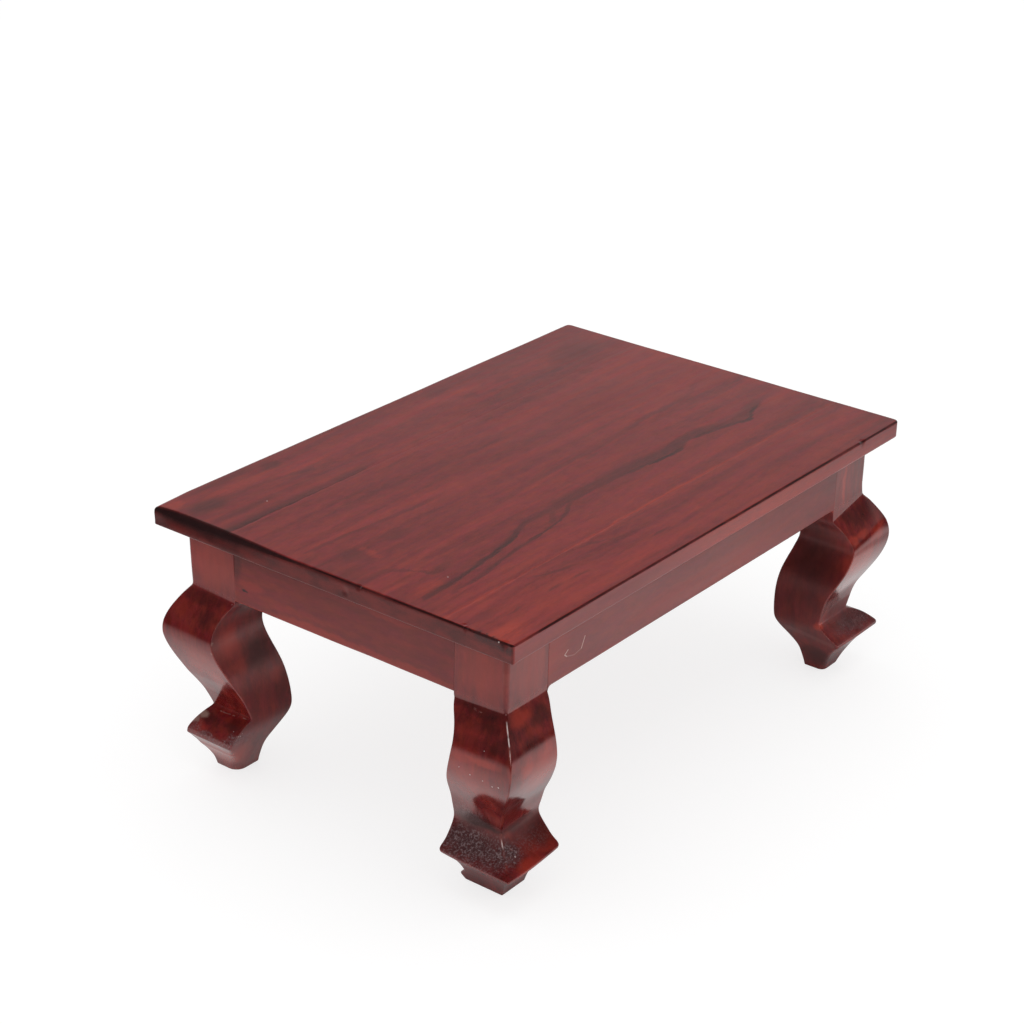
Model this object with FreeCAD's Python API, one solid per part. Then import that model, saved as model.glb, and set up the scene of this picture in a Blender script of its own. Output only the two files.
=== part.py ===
import FreeCAD, Part
import os

# Low table on four cabriole legs, in millimetres.
# X runs along the boards, Y across them, Z up, and the floor is at zero under the middle of the top.

# Overall sizes
table_length = 457.0
table_width = 301.0
table_height = 199.0

# Top: three boards glued edge to edge
top_thickness = 13.2
front_board_width = 54.0
back_board_width = 66.5
top_corner_radius = 4.0
top_upper_round = 1.5
top_lower_round = 2.2
end_overhang = 15.5
side_overhang = 15.8

# Apron rails and their tenons
rail_depth = 44.8
rail_thickness = 18.0
rail_lower_round = 1.5
tenon_thickness = 8.0
tenon_length = 20.0
tenon_outer_cheek = 5.0
tenon_upper_shoulder = 9.0
tenon_lower_shoulder = 6.0
tenon_side_gap = 0.1
tenon_end_gap = 1.0

# Legs: heights are from the floor, and the other sizes are from the faces of the post above
post_width = 41.5
post_drop = 4.2
knee_swell = 14.5
ankle_tuck = 5.9
toe_reach = 13.5
toe_height = 32.7
toe_lip = 3.0
instep_rise = 14.3
heel_rise = 7.3
calf_hollow = 9.5
heel_swell = 2.2
sole_tuck = 9.0
sole_depth = 29.0
sole_rise = 19.0
sole_waist_depth = 31.4
arch_hollow = 4.0
instep_hollow = 4.5

# Places along the curves between the foot and the shoulder, as shares of that height
thigh_height_share = 0.43
shin_height_share = 0.286
hollow_height_share = 0.742
calf_height_share = 0.447
calf_hollow_share = 0.17

# The knee starts lower on a leg whose post runs down below the rail, by this share of that drop
knee_drop_share = 0.4

# Slopes of the curves where they leave the post and where they meet the heel, as run over rise
knee_slope_share = 0.7
calf_slope_share = 1.1
heel_slope_share = 0.05

# Each leg is sawn and filed by hand, so its sizes are shares of those above.
# A pair holds the share along the table, then the share across it. Slope is the run over the rise
# of the curve where it meets the ankle.
leg_shares = {
    "front_left": {
        "knee": (0.90, 1.00), "crown": (0.62, 0.64), "thigh": (0.73, 0.66), "shin": (0.25, 0.20),
        "ankle": (0.85, 0.97), "slope": (0.20, 0.22), "instep": (1.00, 0.85), "toe": (1.00, 1.15),
        "tuck": (1.20, 0.82), "sole": (1.14, 1.39), "waist": (1.01, 1.12), "heel": (0.80, 0.60),
        "drop": 1.0},
    "front_right": {
        "knee": (1.25, 1.02), "crown": (0.59, 0.64), "thigh": (0.77, 0.72), "shin": (0.28, 0.27),
        "ankle": (0.76, 0.52), "slope": (0.12, 0.18), "instep": (-0.80, 0.20), "toe": (1.40, 0.87),
        "tuck": (0.81, 0.70), "sole": (0.81, 0.77), "waist": (1.00, 0.80), "heel": (0.86, 0.30),
        "drop": 0.5},
    "back_left": {
        "knee": (0.97, 0.90), "crown": (0.69, 0.67), "thigh": (0.56, 0.62), "shin": (0.12, 0.14),
        "ankle": (1.70, 1.17), "slope": (0.40, 0.25), "instep": (-1.00, -0.20), "toe": (0.52, 0.10),
        "tuck": (1.24, 1.10), "sole": (0.98, 0.98), "waist": (0.90, 1.12), "heel": (2.60, 0.80),
        "drop": 0.3},
    "back_right": {
        "knee": (1.00, 0.95), "crown": (0.63, 0.65), "thigh": (0.68, 0.67), "shin": (0.22, 0.22),
        "ankle": (1.00, 0.90), "slope": (0.20, 0.20), "instep": (0.40, 0.50), "toe": (1.00, 0.90),
        "tuck": (1.00, 0.90), "sole": (1.00, 1.00), "waist": (0.97, 1.00), "heel": (1.00, 1.00),
        "drop": 0.5},
}
corner_signs = {
    "front_left": (-1, -1),
    "front_right": (1, -1),
    "back_left": (-1, 1),
    "back_right": (1, 1),
}

# Glue blocks in the angle under the top, and the screws that go up through them
block_length = 60.0
block_size = 18.0
block_chamfer = 6.0
block_place_share = 0.45
screw_length = 27.0
screw_radius = 1.9
screw_head_radius = 3.8
screw_head_height = 2.6
screw_slot_width = 1.0
screw_slot_depth = 1.1
screw_sink = 0.5
screw_gap = 0.1

# One overrun for every cut that has to pass right through
overrun = 5.0

# Faces and levels worked out from the sizes above
top_underside = table_height - top_thickness
rail_bottom = top_underside - rail_depth
apron_half_length = table_length / 2 - end_overhang
apron_half_width = table_width / 2 - side_overhang
ankle_height = toe_height + instep_rise
heel_height = toe_height + heel_rise

origin = FreeCAD.Vector(0, 0, 0)
x_axis = FreeCAD.Vector(1, 0, 0)
y_axis = FreeCAD.Vector(0, 1, 0)
z_axis = FreeCAD.Vector(0, 0, 1)


def point(x, y, z):
    return FreeCAD.Vector(x, y, z)


def block(low, high):
    """A box from its low corner to its high corner."""
    return Part.makeBox(high.x - low.x, high.y - low.y, high.z - low.z, low)


def save(shape, node):
    """Write a node, with the seams between coplanar faces taken out."""
    shape.removeSplitter().exportStep(os.path.join("parts", node + ".step"))


def line(start, end):
    return Part.makeLine(start, end)


def arc(start, middle, end):
    return Part.Arc(start, middle, end).toShape()


def curve(points, first_slope, last_slope):
    """A smooth curve through the points, leaving and arriving along the given directions."""
    spline = Part.BSplineCurve()
    spline.interpolate(Points=points, InitialTangent=first_slope, FinalTangent=last_slope)
    return spline.toShape()


# Top

def top_blank():
    """The whole top before it is parted into boards, with its rounded corners and arrises."""
    low = point(-table_length / 2, -table_width / 2, top_underside)
    high = point(table_length / 2, table_width / 2, table_height)
    slab = block(low, high)
    corners = [e for e in slab.Edges if abs(e.tangentAt(e.FirstParameter).z) == 1]
    slab = slab.makeFillet(top_corner_radius, corners)
    for level, radius in ((table_height, top_upper_round), (top_underside, top_lower_round)):
        rim = [e for e in slab.Edges
               if abs(e.BoundBox.ZMin - level) + abs(e.BoundBox.ZMax - level) < radius / 10]
        slab = slab.makeFillet(radius, rim)
    return slab


def board(blank, low_y, high_y, holes):
    """The strip of the top between two glue lines, with the pilot holes of its screws."""
    low = point(-table_length, low_y, top_underside - overrun)
    high = point(table_length, high_y, table_height + overrun)
    strip = blank.common(block(low, high))
    for hole in holes:
        strip = strip.cut(hole)
    return strip


def save_top_boards(holes):
    blank = top_blank()
    front_line = -table_width / 2 + front_board_width
    back_line = table_width / 2 - back_board_width
    edges = {
        "top_board_front": (-table_width, front_line),
        "top_board_middle": (front_line, back_line),
        "top_board_back": (back_line, table_width),
    }
    for node, (low_y, high_y) in edges.items():
        inside = [h for h in holes if low_y < h.CenterOfMass.y < high_y]
        save(board(blank, low_y, high_y, inside), node)


# Legs

def leg_outline(shares, axis):
    """The sawn outline of a leg seen along one of its faces, as a face in the XZ plane.

    X is zero at the post's outer face and grows outwards. The axis is 0 for the outline along
    the table and 1 for the one across it.
    """
    swell = knee_swell * shares["knee"][axis]
    tuck = ankle_tuck * shares["ankle"][axis]
    reach = toe_reach * shares["toe"][axis]
    waist = sole_waist_depth * shares["waist"][axis]
    sole = sole_depth * shares["sole"][axis]
    sole_start = sole_tuck * shares["tuck"][axis]
    drop = post_drop * shares["drop"]
    shoulder = rail_bottom - drop
    knee_start = rail_bottom - drop * knee_drop_share
    shank = rail_bottom - ankle_height
    calf = shoulder - heel_height

    knee = point(0, 0, knee_start)
    crown = point(swell, 0, ankle_height + shank * shares["crown"][axis])
    thigh = point(swell * shares["thigh"][axis], 0, ankle_height + shank * thigh_height_share)
    shin = point(swell * shares["shin"][axis], 0, ankle_height + shank * shin_height_share)
    ankle = point(-tuck, 0, ankle_height)
    toe = point(reach, 0, toe_height)
    lip = point(reach, 0, toe_height - toe_lip)
    sole_front = point(-sole_start, 0, 0)
    sole_back = point(-sole, 0, 0)
    waist_back = point(-waist, 0, sole_rise)
    heel = point(-post_width - heel_swell * shares["heel"][axis], 0, heel_height)
    calf_back = point(-post_width + calf_hollow * calf_hollow_share, 0,
                      heel_height + calf * calf_height_share)
    hollow = point(-post_width + calf_hollow, 0, heel_height + calf * hollow_height_share)
    inner_shoulder = point(-post_width, 0, shoulder)
    inner_top = point(-post_width, 0, top_underside)
    outer_top = point(0, 0, top_underside)

    instep = (ankle + toe) / 2 - (x_axis + z_axis) / 2 * instep_hollow * shares["instep"][axis]
    arch = (lip + sole_front) / 2 - x_axis * arch_hollow
    edges = [
        line(outer_top, knee),
        curve([knee, crown, thigh, shin, ankle],
              point(knee_slope_share, 0, -1), point(-shares["slope"][axis], 0, -1)),
        arc(ankle, instep, toe),
        line(toe, lip),
        arc(lip, arch, sole_front),
        line(sole_front, sole_back),
        line(sole_back, waist_back),
        line(waist_back, heel),
        curve([heel, calf_back, hollow, inner_shoulder],
              point(-heel_slope_share, 0, 1), point(-calf_slope_share, 0, 1)),
        line(inner_shoulder, inner_top),
        line(inner_top, outer_top),
    ]
    return Part.Face(Part.Wire(edges))


def mortise_along():
    """The mortise that takes the tenon of a rail running along the table."""
    side = tenon_side_gap
    low_y = -tenon_outer_cheek - tenon_thickness
    low = point(-post_width - overrun, low_y - side, rail_bottom + tenon_lower_shoulder - side)
    high = point(-post_width + tenon_length + tenon_end_gap, -tenon_outer_cheek + side,
                 top_underside - tenon_upper_shoulder + side)
    return block(low, high)


def swap_axes(shape):
    """Turn a shape made along the table into the matching one across it."""
    return shape.mirror(origin, x_axis - y_axis)


def leg(corner):
    """One leg: two sawn outlines at right angles meet in one square post with two mortises."""
    shares = leg_shares[corner]
    side_x, side_y = corner_signs[corner]
    breadth = post_width + knee_swell + toe_reach + heel_swell
    along = leg_outline(shares, 0)
    along.translate(y_axis * -2 * breadth)
    along = along.extrude(y_axis * 4 * breadth)
    across = swap_axes(leg_outline(shares, 1))
    across.translate(x_axis * -2 * breadth)
    across = across.extrude(x_axis * 4 * breadth)
    body = along.common(across)
    body = body.cut(mortise_along())
    body = body.cut(swap_axes(mortise_along()))
    body.translate(point(apron_half_length, apron_half_width, 0))
    if side_x < 0:
        body = body.mirror(origin, x_axis)
    if side_y < 0:
        body = body.mirror(origin, y_axis)
    return body


# Rails

def rail(half_span, outer_face, feet):
    """A rail along X between two posts, with a tenon at each end.

    Its outer face looks towards minus Y. The feet are the radii of the small curves that its
    lower edge takes down the left and the right post.
    """
    inner_face = outer_face + rail_thickness
    low = point(-half_span, outer_face, rail_bottom)
    high = point(half_span, inner_face, top_underside)
    body = block(low, high)
    arris = [e for e in body.Edges
             if e.BoundBox.ZMax < rail_bottom + rail_lower_round
             and e.BoundBox.YMax < outer_face + rail_lower_round]
    body = body.makeFillet(rail_lower_round, arris)
    for side, foot in zip((-1, 1), feet):
        if foot:
            body = body.fuse(rail_foot(side, half_span, outer_face, foot))
    tenon_low = point(-half_span - tenon_length, outer_face + tenon_outer_cheek,
                      rail_bottom + tenon_lower_shoulder)
    tenon_high = point(half_span + tenon_length, outer_face + tenon_outer_cheek + tenon_thickness,
                       top_underside - tenon_upper_shoulder)
    return body.fuse(block(tenon_low, tenon_high))


def rail_foot(side, half_span, outer_face, radius):
    """The concave curve by which the lower edge of a rail runs down onto the post."""
    end = side * half_span
    start = end - side * radius
    y = outer_face + rail_lower_round
    rise = rail_lower_round
    centre = point(start, y, rail_bottom - radius)
    middle = centre + point(side, 0, 1) * (radius / 2 ** 0.5)
    outline = Part.Wire([
        line(point(start, y, rail_bottom + rise), point(end, y, rail_bottom + rise)),
        line(point(end, y, rail_bottom + rise), point(end, y, rail_bottom - radius)),
        arc(point(end, y, rail_bottom - radius), middle, point(start, y, rail_bottom)),
        line(point(start, y, rail_bottom), point(start, y, rail_bottom + rise)),
    ])
    return Part.Face(outline).extrude(y_axis * (rail_thickness - rail_lower_round))


def rails():
    long_span = apron_half_length - post_width
    short_span = apron_half_width - post_width
    foot_front_left = post_drop * leg_shares["front_left"]["drop"]
    foot_front_right = post_drop * leg_shares["front_right"]["drop"]
    front = rail(long_span, -apron_half_width, (foot_front_left, foot_front_right))
    back = rail(long_span, -apron_half_width, (0, 0)).mirror(origin, y_axis)
    side = rail(short_span, -apron_half_length, (0, 0))
    right = side.rotated(origin, z_axis, 90)
    left = side.rotated(origin, z_axis, -90)
    return {"rail_front": front, "rail_back": back, "rail_right": right, "rail_left": left}


# Glue blocks and their screws

def glue_block():
    """A block along X in the angle between a rail at minus Y and the top, with its screw hole."""
    low = point(-block_length / 2, 0, top_underside - block_size)
    high = point(block_length / 2, block_size, top_underside)
    body = block(low, high)
    arris = [e for e in body.Edges
             if e.BoundBox.ZMax < low.z + block_chamfer and e.BoundBox.YMin > high.y - block_chamfer]
    body = body.makeChamfer(block_chamfer, arris)
    return body.cut(pilot())


def turned(outline):
    """A solid turned about Z from the corners of half its section."""
    wire = Part.makePolygon(outline + outline[:1])
    return Part.Face(wire).revolve(origin, z_axis, 360)


def screw():
    """A slotted countersunk wood screw that goes up through the middle of a glue block."""
    body = turned([
        point(0, 0, screw_sink),
        point(screw_head_radius, 0, screw_sink),
        point(screw_radius, 0, screw_sink + screw_head_height),
        point(screw_radius, 0, screw_length),
        point(0, 0, screw_length),
    ])
    slot_low = point(-screw_head_radius, -screw_slot_width / 2, screw_sink - overrun)
    slot_high = point(screw_head_radius, screw_slot_width / 2, screw_sink + screw_slot_depth)
    body = body.cut(block(slot_low, slot_high))
    body.translate(screw_place())
    return body


def pilot():
    """The hole that a screw fills, sunk for its head and open below the block."""
    head = screw_head_radius + screw_gap
    shank = screw_radius + screw_gap
    body = turned([
        point(0, 0, -overrun),
        point(head, 0, -overrun),
        point(head, 0, screw_sink),
        point(shank, 0, screw_sink + screw_head_height),
        point(shank, 0, screw_length + screw_gap),
        point(0, 0, screw_length + screw_gap),
    ])
    body.translate(screw_place())
    return body


def screw_place():
    """Where the screw enters its block, midway between the rail and the chamfer."""
    return point(0, (block_size - block_chamfer) / 2, top_underside - block_size)


def block_seats():
    """Each glue block's name, the middle of its foot on the rail, and its turn about Z."""
    inner_y = apron_half_width - rail_thickness
    inner_x = apron_half_length - rail_thickness
    place = apron_half_length * block_place_share
    return {
        "glue_block_front_left": (point(-place, -inner_y, 0), 0),
        "glue_block_front_right": (point(place, -inner_y, 0), 0),
        "glue_block_right": (point(inner_x, 0, 0), 90),
        "glue_block_back_right": (point(place, inner_y, 0), 180),
        "glue_block_back_left": (point(-place, inner_y, 0), 180),
        "glue_block_left": (point(-inner_x, 0, 0), -90),
    }


def seated(shape, seat, turn):
    placed = shape.rotated(origin, z_axis, turn)
    placed.translate(seat)
    return placed


def main():
    os.makedirs("parts", exist_ok=True)
    screws = []
    holes = []
    for node, (seat, turn) in block_seats().items():
        save(seated(glue_block(), seat, turn), node)
        screws.append(seated(screw(), seat, turn))
        holes.append(seated(pilot(), seat, turn))
    Part.makeCompound(screws).exportStep(os.path.join("parts", "top_screws.step"))
    save_top_boards(holes)
    for node, shape in rails().items():
        save(shape, node)
    for corner in corner_signs:
        save(leg(corner), "leg_" + corner)


main()
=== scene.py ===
import math

import bmesh
import bpy
import numpy as np
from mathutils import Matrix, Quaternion, Vector, noise
from mathutils.bvhtree import BVHTree


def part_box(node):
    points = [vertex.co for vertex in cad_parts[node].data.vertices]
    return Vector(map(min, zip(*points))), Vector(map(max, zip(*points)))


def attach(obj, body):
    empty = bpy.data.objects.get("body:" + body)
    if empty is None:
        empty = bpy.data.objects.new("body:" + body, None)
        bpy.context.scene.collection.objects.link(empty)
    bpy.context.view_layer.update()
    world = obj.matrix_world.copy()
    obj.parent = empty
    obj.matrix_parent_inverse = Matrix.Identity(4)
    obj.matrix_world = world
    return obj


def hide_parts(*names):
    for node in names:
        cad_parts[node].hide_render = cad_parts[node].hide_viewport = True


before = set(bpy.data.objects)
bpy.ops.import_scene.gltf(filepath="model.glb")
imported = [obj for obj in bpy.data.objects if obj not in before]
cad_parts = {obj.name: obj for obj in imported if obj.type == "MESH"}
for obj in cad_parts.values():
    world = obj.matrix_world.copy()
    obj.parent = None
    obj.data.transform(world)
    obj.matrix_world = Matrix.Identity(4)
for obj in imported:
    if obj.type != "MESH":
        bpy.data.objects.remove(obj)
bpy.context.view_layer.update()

mm = 0.001

# Hand work wavers the same way each time
noise.seed_set(5)

# Sizes that the frame does not give by itself
post_width = 41.5 * mm
tenon_length = 20.0 * mm
tenon_cheeks = (5.0 * mm, 13.0 * mm)
tenon_lower_shoulder = 6.0 * mm
tenon_upper_shoulder = 9.0 * mm
leg_corners = {
    "front_left": (-1, -1),
    "front_right": (1, -1),
    "back_left": (-1, 1),
    "back_right": (1, 1),
}

# Planes and levels worked out from the frame
top_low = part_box("top_board_front")[0]
top_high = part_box("top_board_back")[1]
table_half_length = top_high.x
table_half_width = top_high.y
table_top = top_high.z
top_underside = top_low.z
post_face_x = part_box("rail_right")[1].x
post_face_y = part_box("rail_back")[1].y
rail_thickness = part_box("rail_back")[1].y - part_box("rail_back")[0].y
rail_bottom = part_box("rail_back")[0].z
front_rail_foot = rail_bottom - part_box("rail_front")[0].z

# How the arrises are rounded and worn, and how far hand work strays from true
plan_corner_rounds = {(-1, -1): 1.8 * mm, (1, -1): 4.0 * mm, (-1, 1): 2.0 * mm, (1, 1): 4.0 * mm}
plan_rounding = 4.2 * mm
top_arris_round = 1.5 * mm
back_arris_wear = 2.6 * mm
top_wear_reach = 2.4 * mm
lower_arris_round = 1.6 * mm
lower_wear_reach = 3.0 * mm
rail_arris_round = 1.5 * mm
rail_wear_reach = 2.5 * mm
plane_waver = 0.10 * mm
leg_waver = 0.28 * mm
face_step = 2.2 * mm
leg_step = 0.75 * mm
close = 0.01 * mm

# The top's own faults: its left end leans in towards the back, its right end and its back stand out
# a little beyond the drawing, and its glue lines are sunk
end_lean = 2.4 * mm
corner_stand = 3.2 * mm
right_end_swell = 0.7 * mm
back_swell = 0.5 * mm
glue_line_dip = 0.03 * mm
glue_line_reach = 0.9 * mm


# Shape helpers

def planes(low, high, rounding, step):
    """Planes from low to high: close together over the rounding at both ends, a step apart between."""
    shares = (0.0, 0.12, 0.26, 0.42, 0.6, 0.8, 1.0, 1.6)
    start = [low + rounding * share for share in shares]
    end = [high - rounding * share for share in reversed(shares)]
    count = max(2, round((end[0] - start[-1]) / step))
    middle = np.linspace(start[-1], end[0], count + 1)[1:-1]
    return np.array(start + list(middle) + end)


def lattice(xs, ys, zs):
    """The skin of a box as points and square faces, cut at the given planes."""
    shape = (len(xs), len(ys), len(zs))
    on_skin = np.ones(shape, bool)
    on_skin[1:-1, 1:-1, 1:-1] = False
    index = np.full(shape, -1)
    index[on_skin] = np.arange(on_skin.sum())
    place = np.argwhere(on_skin)
    points = np.stack([xs[place[:, 0]], ys[place[:, 1]], zs[place[:, 2]]], axis=1)
    faces = []
    for axis in range(3):
        for end in (0, -1):
            sheet = np.take(index, end, axis=axis)
            corners = [sheet[:-1, :-1], sheet[1:, :-1], sheet[1:, 1:], sheet[:-1, 1:]]
            quads = np.stack(corners, axis=-1).reshape(-1, 4)
            if (end == 0) != (axis == 1):
                quads = quads[:, ::-1]
            faces.append(quads)
    return points, np.concatenate(faces)


def rising(values, start, run):
    """From nought at the start to one after the run."""
    return np.clip((values - start) / run, 0, 1)


def fading(gaps, reach):
    """From one down to nought while the gaps grow to the reach."""
    return np.clip(1 - gaps / reach, 0, 1)


def smooth_noise(points, size, seed):
    """Slow noise between about minus one and one, whose lumps are this size."""
    shift = Vector((seed * 7.3, seed * 3.1, seed * 5.7))
    return np.array([noise.noise(Vector(p) / size + shift) for p in points])


def waver(points, amount, size, seed):
    """Move each point a little, as a hand-planed surface strays."""
    shift = Vector((seed * 2.9, seed * 8.3, seed * 4.1))
    moves = np.array([noise.noise_vector(Vector(p) / size + shift) for p in points])
    return points + moves * amount


def make_piece(name, points, faces, arris, nodes, sharp=math.radians(38)):
    """A mesh object that rides on the table, stands for CAD nodes and carries its worn arrises."""
    mesh = bpy.data.meshes.new(name)
    mesh.from_pydata(points.tolist(), [], [list(f) for f in faces])
    mesh.attributes.new("arris", "FLOAT", "POINT").data.foreach_set("value", arris.astype(np.float32))
    mesh.shade_smooth()
    mesh.set_sharp_from_angle(angle=sharp)
    piece = bpy.data.objects.new(name, mesh)
    bpy.context.scene.collection.objects.link(piece)
    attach(piece, "root")
    if nodes:
        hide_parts(*nodes)
    return piece


# Top boards

def corner_radius(points):
    """The plan radius of the corner that each point belongs to."""
    sides = np.where(points[:, :2] < 0, -1, 1)
    return np.array([plan_corner_rounds[tuple(side)] for side in sides.tolist()])


def round_plan(points, half, radius):
    """Bend the square corners of a plan into quarter circles, as far in as the radius."""
    inner = half - radius[:, None]
    beyond = np.maximum(np.abs(points[:, :2]) - inner, 0)
    in_corner = (beyond > 0).all(axis=1)
    length = np.maximum(np.hypot(beyond[:, 0], beyond[:, 1]), 1e-12)
    scale = np.where(in_corner, beyond.max(axis=1) / length, 1.0)
    kept = np.minimum(np.abs(points[:, :2]), inner)
    points[:, :2] = np.sign(points[:, :2]) * (kept + beyond * scale[:, None])
    return points


def outline_inset(points, half, radius):
    """How far each point lies inside the rounded outline, and the direction outwards in plan."""
    inner = half - radius[:, None]
    beyond = np.maximum(np.abs(points[:, :2]) - inner, 0)
    length = np.hypot(beyond[:, 0], beyond[:, 1])
    in_corner = (beyond > 0).all(axis=1)
    gaps = half - np.abs(points[:, :2])
    nearest = gaps.argmin(axis=1)
    outwards = np.zeros_like(beyond)
    outwards[np.arange(len(points)), nearest] = 1.0
    safe = np.maximum(length, 1e-12)[:, None]
    outwards = np.where(in_corner[:, None], beyond / safe, outwards) * np.sign(points[:, :2])
    inset = np.where(in_corner, radius - length, gaps.min(axis=1))
    return np.maximum(inset, 0), outwards


def roll_arris(points, inset, outwards, depth, radius, upwards):
    """Roll the square arris between a side and a level face into a quarter circle."""
    near = (inset < radius) & (depth < radius)
    across = radius - inset
    down = radius - depth
    length = np.maximum(np.hypot(across, down), 1e-12)
    new_inset = radius - radius * across / length
    new_depth = radius - radius * down / length
    move_in = np.where(near, new_inset - inset, 0)
    move_down = np.where(near, new_depth - depth, 0)
    points[:, :2] -= outwards * move_in[:, None]
    points[:, 2] -= upwards * move_down
    return points


def worn_top_arris(points):
    """Radius of the upper arris: softer towards the back left corner, and uneven by hand."""
    towards_back = rising(points[:, 1], -table_half_width, 2 * table_half_width)
    at_left_end = fading(points[:, 0] + table_half_length, 30 * mm)
    radius = top_arris_round + back_arris_wear * at_left_end * towards_back ** 1.5
    return radius * (1 + 0.25 * smooth_noise(points, 45 * mm, 4))


def top_board(node):
    low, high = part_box(node)
    half = np.array([table_half_length, table_half_width])
    xs = chip_planes(planes(low.x, high.x, plan_rounding, face_step), 0)
    ys = chip_planes(planes(low.y, high.y, plan_rounding, face_step), 1)
    zs = planes(low.z, high.z, lower_arris_round, face_step)
    points, faces = lattice(xs, ys, zs)
    radius = corner_radius(points)
    points = round_plan(points, half, radius)
    inset, outwards = outline_inset(points, half, radius)
    from_top = table_top - points[:, 2]
    from_underside = points[:, 2] - top_underside
    upper = worn_top_arris(points)
    arris = np.maximum(fading(np.hypot(inset, from_top), top_wear_reach),
                       fading(np.hypot(inset, from_underside), lower_wear_reach))
    points = roll_arris(points, inset, outwards, from_top, upper, 1)
    at_left_end = np.clip((-table_half_length + 6 * mm - points[:, 0]) / (3 * mm), 0, 1)
    lower = lower_arris_round * (1 - 0.5 * at_left_end)
    points = roll_arris(points, inset, outwards, from_underside, lower, -1)
    points[:, 2] -= sunk_at_glue_lines(points, low.y, high.y)
    points[:, 0] += leaning_end(points)
    points[:, 0] += right_end_swell * rising(points[:, 0], 190 * mm, 30 * mm)
    points[:, 1] += back_swell * rising(points[:, 1], 110 * mm, 30 * mm)
    points = chipped(points)
    points = waver(points, plane_waver, 70 * mm, 1)
    points = waver(points, plane_waver * 0.3, 14 * mm, 2)
    return make_piece("board_" + node.rsplit("_", 1)[1], points, faces, arris, [node])


# Small chips in the upper arris, in millimetres: place, how far each reaches, and how deep it goes
arris_chips = [
    ((-228.5, -29.0, 199.0), 2.4, 0.9),
    ((-228.5, -114.0, 199.0), 2.0, 0.7),
    ((-228.5, -144.0, 199.0), 3.4, 0.7),
    ((-228.5, -18.0, 191.5), 2.6, 0.5),
    ((177.0, -150.5, 199.0), 3.6, 0.6),
    ((-226.0, -111.3, 199.0), 1.8, 0.5),
]


def chip_planes(places, axis):
    """More planes where a chip needs them."""
    extra = set()
    for centre, reach, _ in arris_chips:
        extra |= {(centre[axis] + reach * share) * mm for share in (-1.2, -0.8, -0.4, 0.0, 0.4, 0.8, 1.2)}
    inside = {value for value in extra if places[0] < value < places[-1]}
    return np.array(sorted(set(places) | inside))


def chipped(points):
    """Push the skin in where the arris has lost a crumb of wood."""
    for centre, reach, depth in arris_chips:
        away = points - np.array(centre) * mm
        share = fading(np.linalg.norm(away, axis=1), reach * mm)
        inwards = -np.array(centre) / np.linalg.norm(centre[:2])
        inwards[2] = -0.7
        points = points + inwards * (depth * mm * share ** 0.7 * (share > 0))[:, None]
    return points


def leaning_end(points):
    """The left end was planed off square towards the back: how far its upper part leans in."""
    height = rising(points[:, 2], top_underside + 3 * mm, table_top - top_underside)
    towards_back = rising(points[:, 1], 45 * mm, 50 * mm)
    near_end = fading(points[:, 0] + table_half_length, 14 * mm)
    at_corner = rising(points[:, 1], 132 * mm, 12 * mm)
    return (end_lean - corner_stand * at_corner) * height * towards_back * near_end


def sunk_at_glue_lines(points, low_y, high_y):
    """The upper face dips a hair along a glue line, where the joint was scraped and filled."""
    dip = np.zeros(len(points))
    for y in (low_y, high_y):
        if abs(y) < table_half_width - plan_rounding:
            dip += glue_line_dip * fading(np.abs(points[:, 1] - y), glue_line_reach)
    return np.where(points[:, 2] > table_top - 1 * mm, dip, 0)


# Rails

rail_places = {
    "rail_front": (post_face_x, post_face_y, 0),
    "rail_right": (post_face_y, post_face_x, 1),
    "rail_back": (post_face_x, post_face_y, 2),
    "rail_left": (post_face_y, post_face_x, 3),
}


def quarter_turns(points, count):
    """Turn points about Z by quarter turns."""
    for _ in range(count % 4):
        points = np.stack([-points[:, 1], points[:, 0], points[:, 2]], axis=1)
    return points


def rail_piece(node, seed):
    along, outer, turns = rail_places[node]
    half_span = along - post_width
    inner = outer - rail_thickness
    xs = planes(-half_span, half_span, front_rail_foot, face_step)
    ys = sorted(set(planes(-outer, -inner, rail_arris_round, face_step))
                | {-outer + cheek for cheek in tenon_cheeks})
    tenon_levels = {rail_bottom + tenon_lower_shoulder, top_underside - tenon_upper_shoulder}
    zs = sorted(set(planes(rail_bottom, top_underside, rail_arris_round, face_step)) | tenon_levels)
    points, faces = lattice(xs, np.array(ys), np.array(zs))
    flat = points.copy()
    from_bottom = points[:, 2] - rail_bottom
    arris = np.zeros(len(points))
    for side, radius in ((-outer, rail_arris_round), (-inner, rail_arris_round * 0.6)):
        inset = np.abs(points[:, 1] - side)
        outwards = np.zeros((len(points), 2))
        outwards[:, 1] = 1 if side == -inner else -1
        arris = np.maximum(arris, fading(np.hypot(inset, from_bottom), rail_wear_reach))
        uneven = radius * (1 + 0.3 * smooth_noise(flat, 40 * mm, seed))
        points = roll_arris(points, inset, outwards, from_bottom, uneven, -1)
    if node == "rail_front":
        points[:, 2] -= foot_drop(flat, half_span)
    points = np.where(at_tenon(flat, half_span)[:, None], points,
                      waver(points, plane_waver * 1.6, 60 * mm, seed))
    piece_points, piece_faces, piece_arris = add_tenons(points, faces, arris, flat, half_span)
    piece_points = quarter_turns(piece_points, turns)
    return make_piece(node.replace("rail", "apron"), piece_points, piece_faces, piece_arris,
                      [node])


def foot_drop(points, half_span):
    """How far the lower edge runs down onto the posts, dying out above the edge."""
    radius = np.where(points[:, 0] < 0, front_rail_foot, front_rail_foot * 0.5)
    run = np.clip(np.abs(points[:, 0]) - (half_span - radius), 0, radius)
    drop = radius - np.sqrt(np.maximum(radius ** 2 - run ** 2, 0))
    return drop * fading(points[:, 2] - rail_bottom, 12 * mm)


def at_tenon(points, half_span):
    return np.abs(np.abs(points[:, 0]) - half_span) < close


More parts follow.
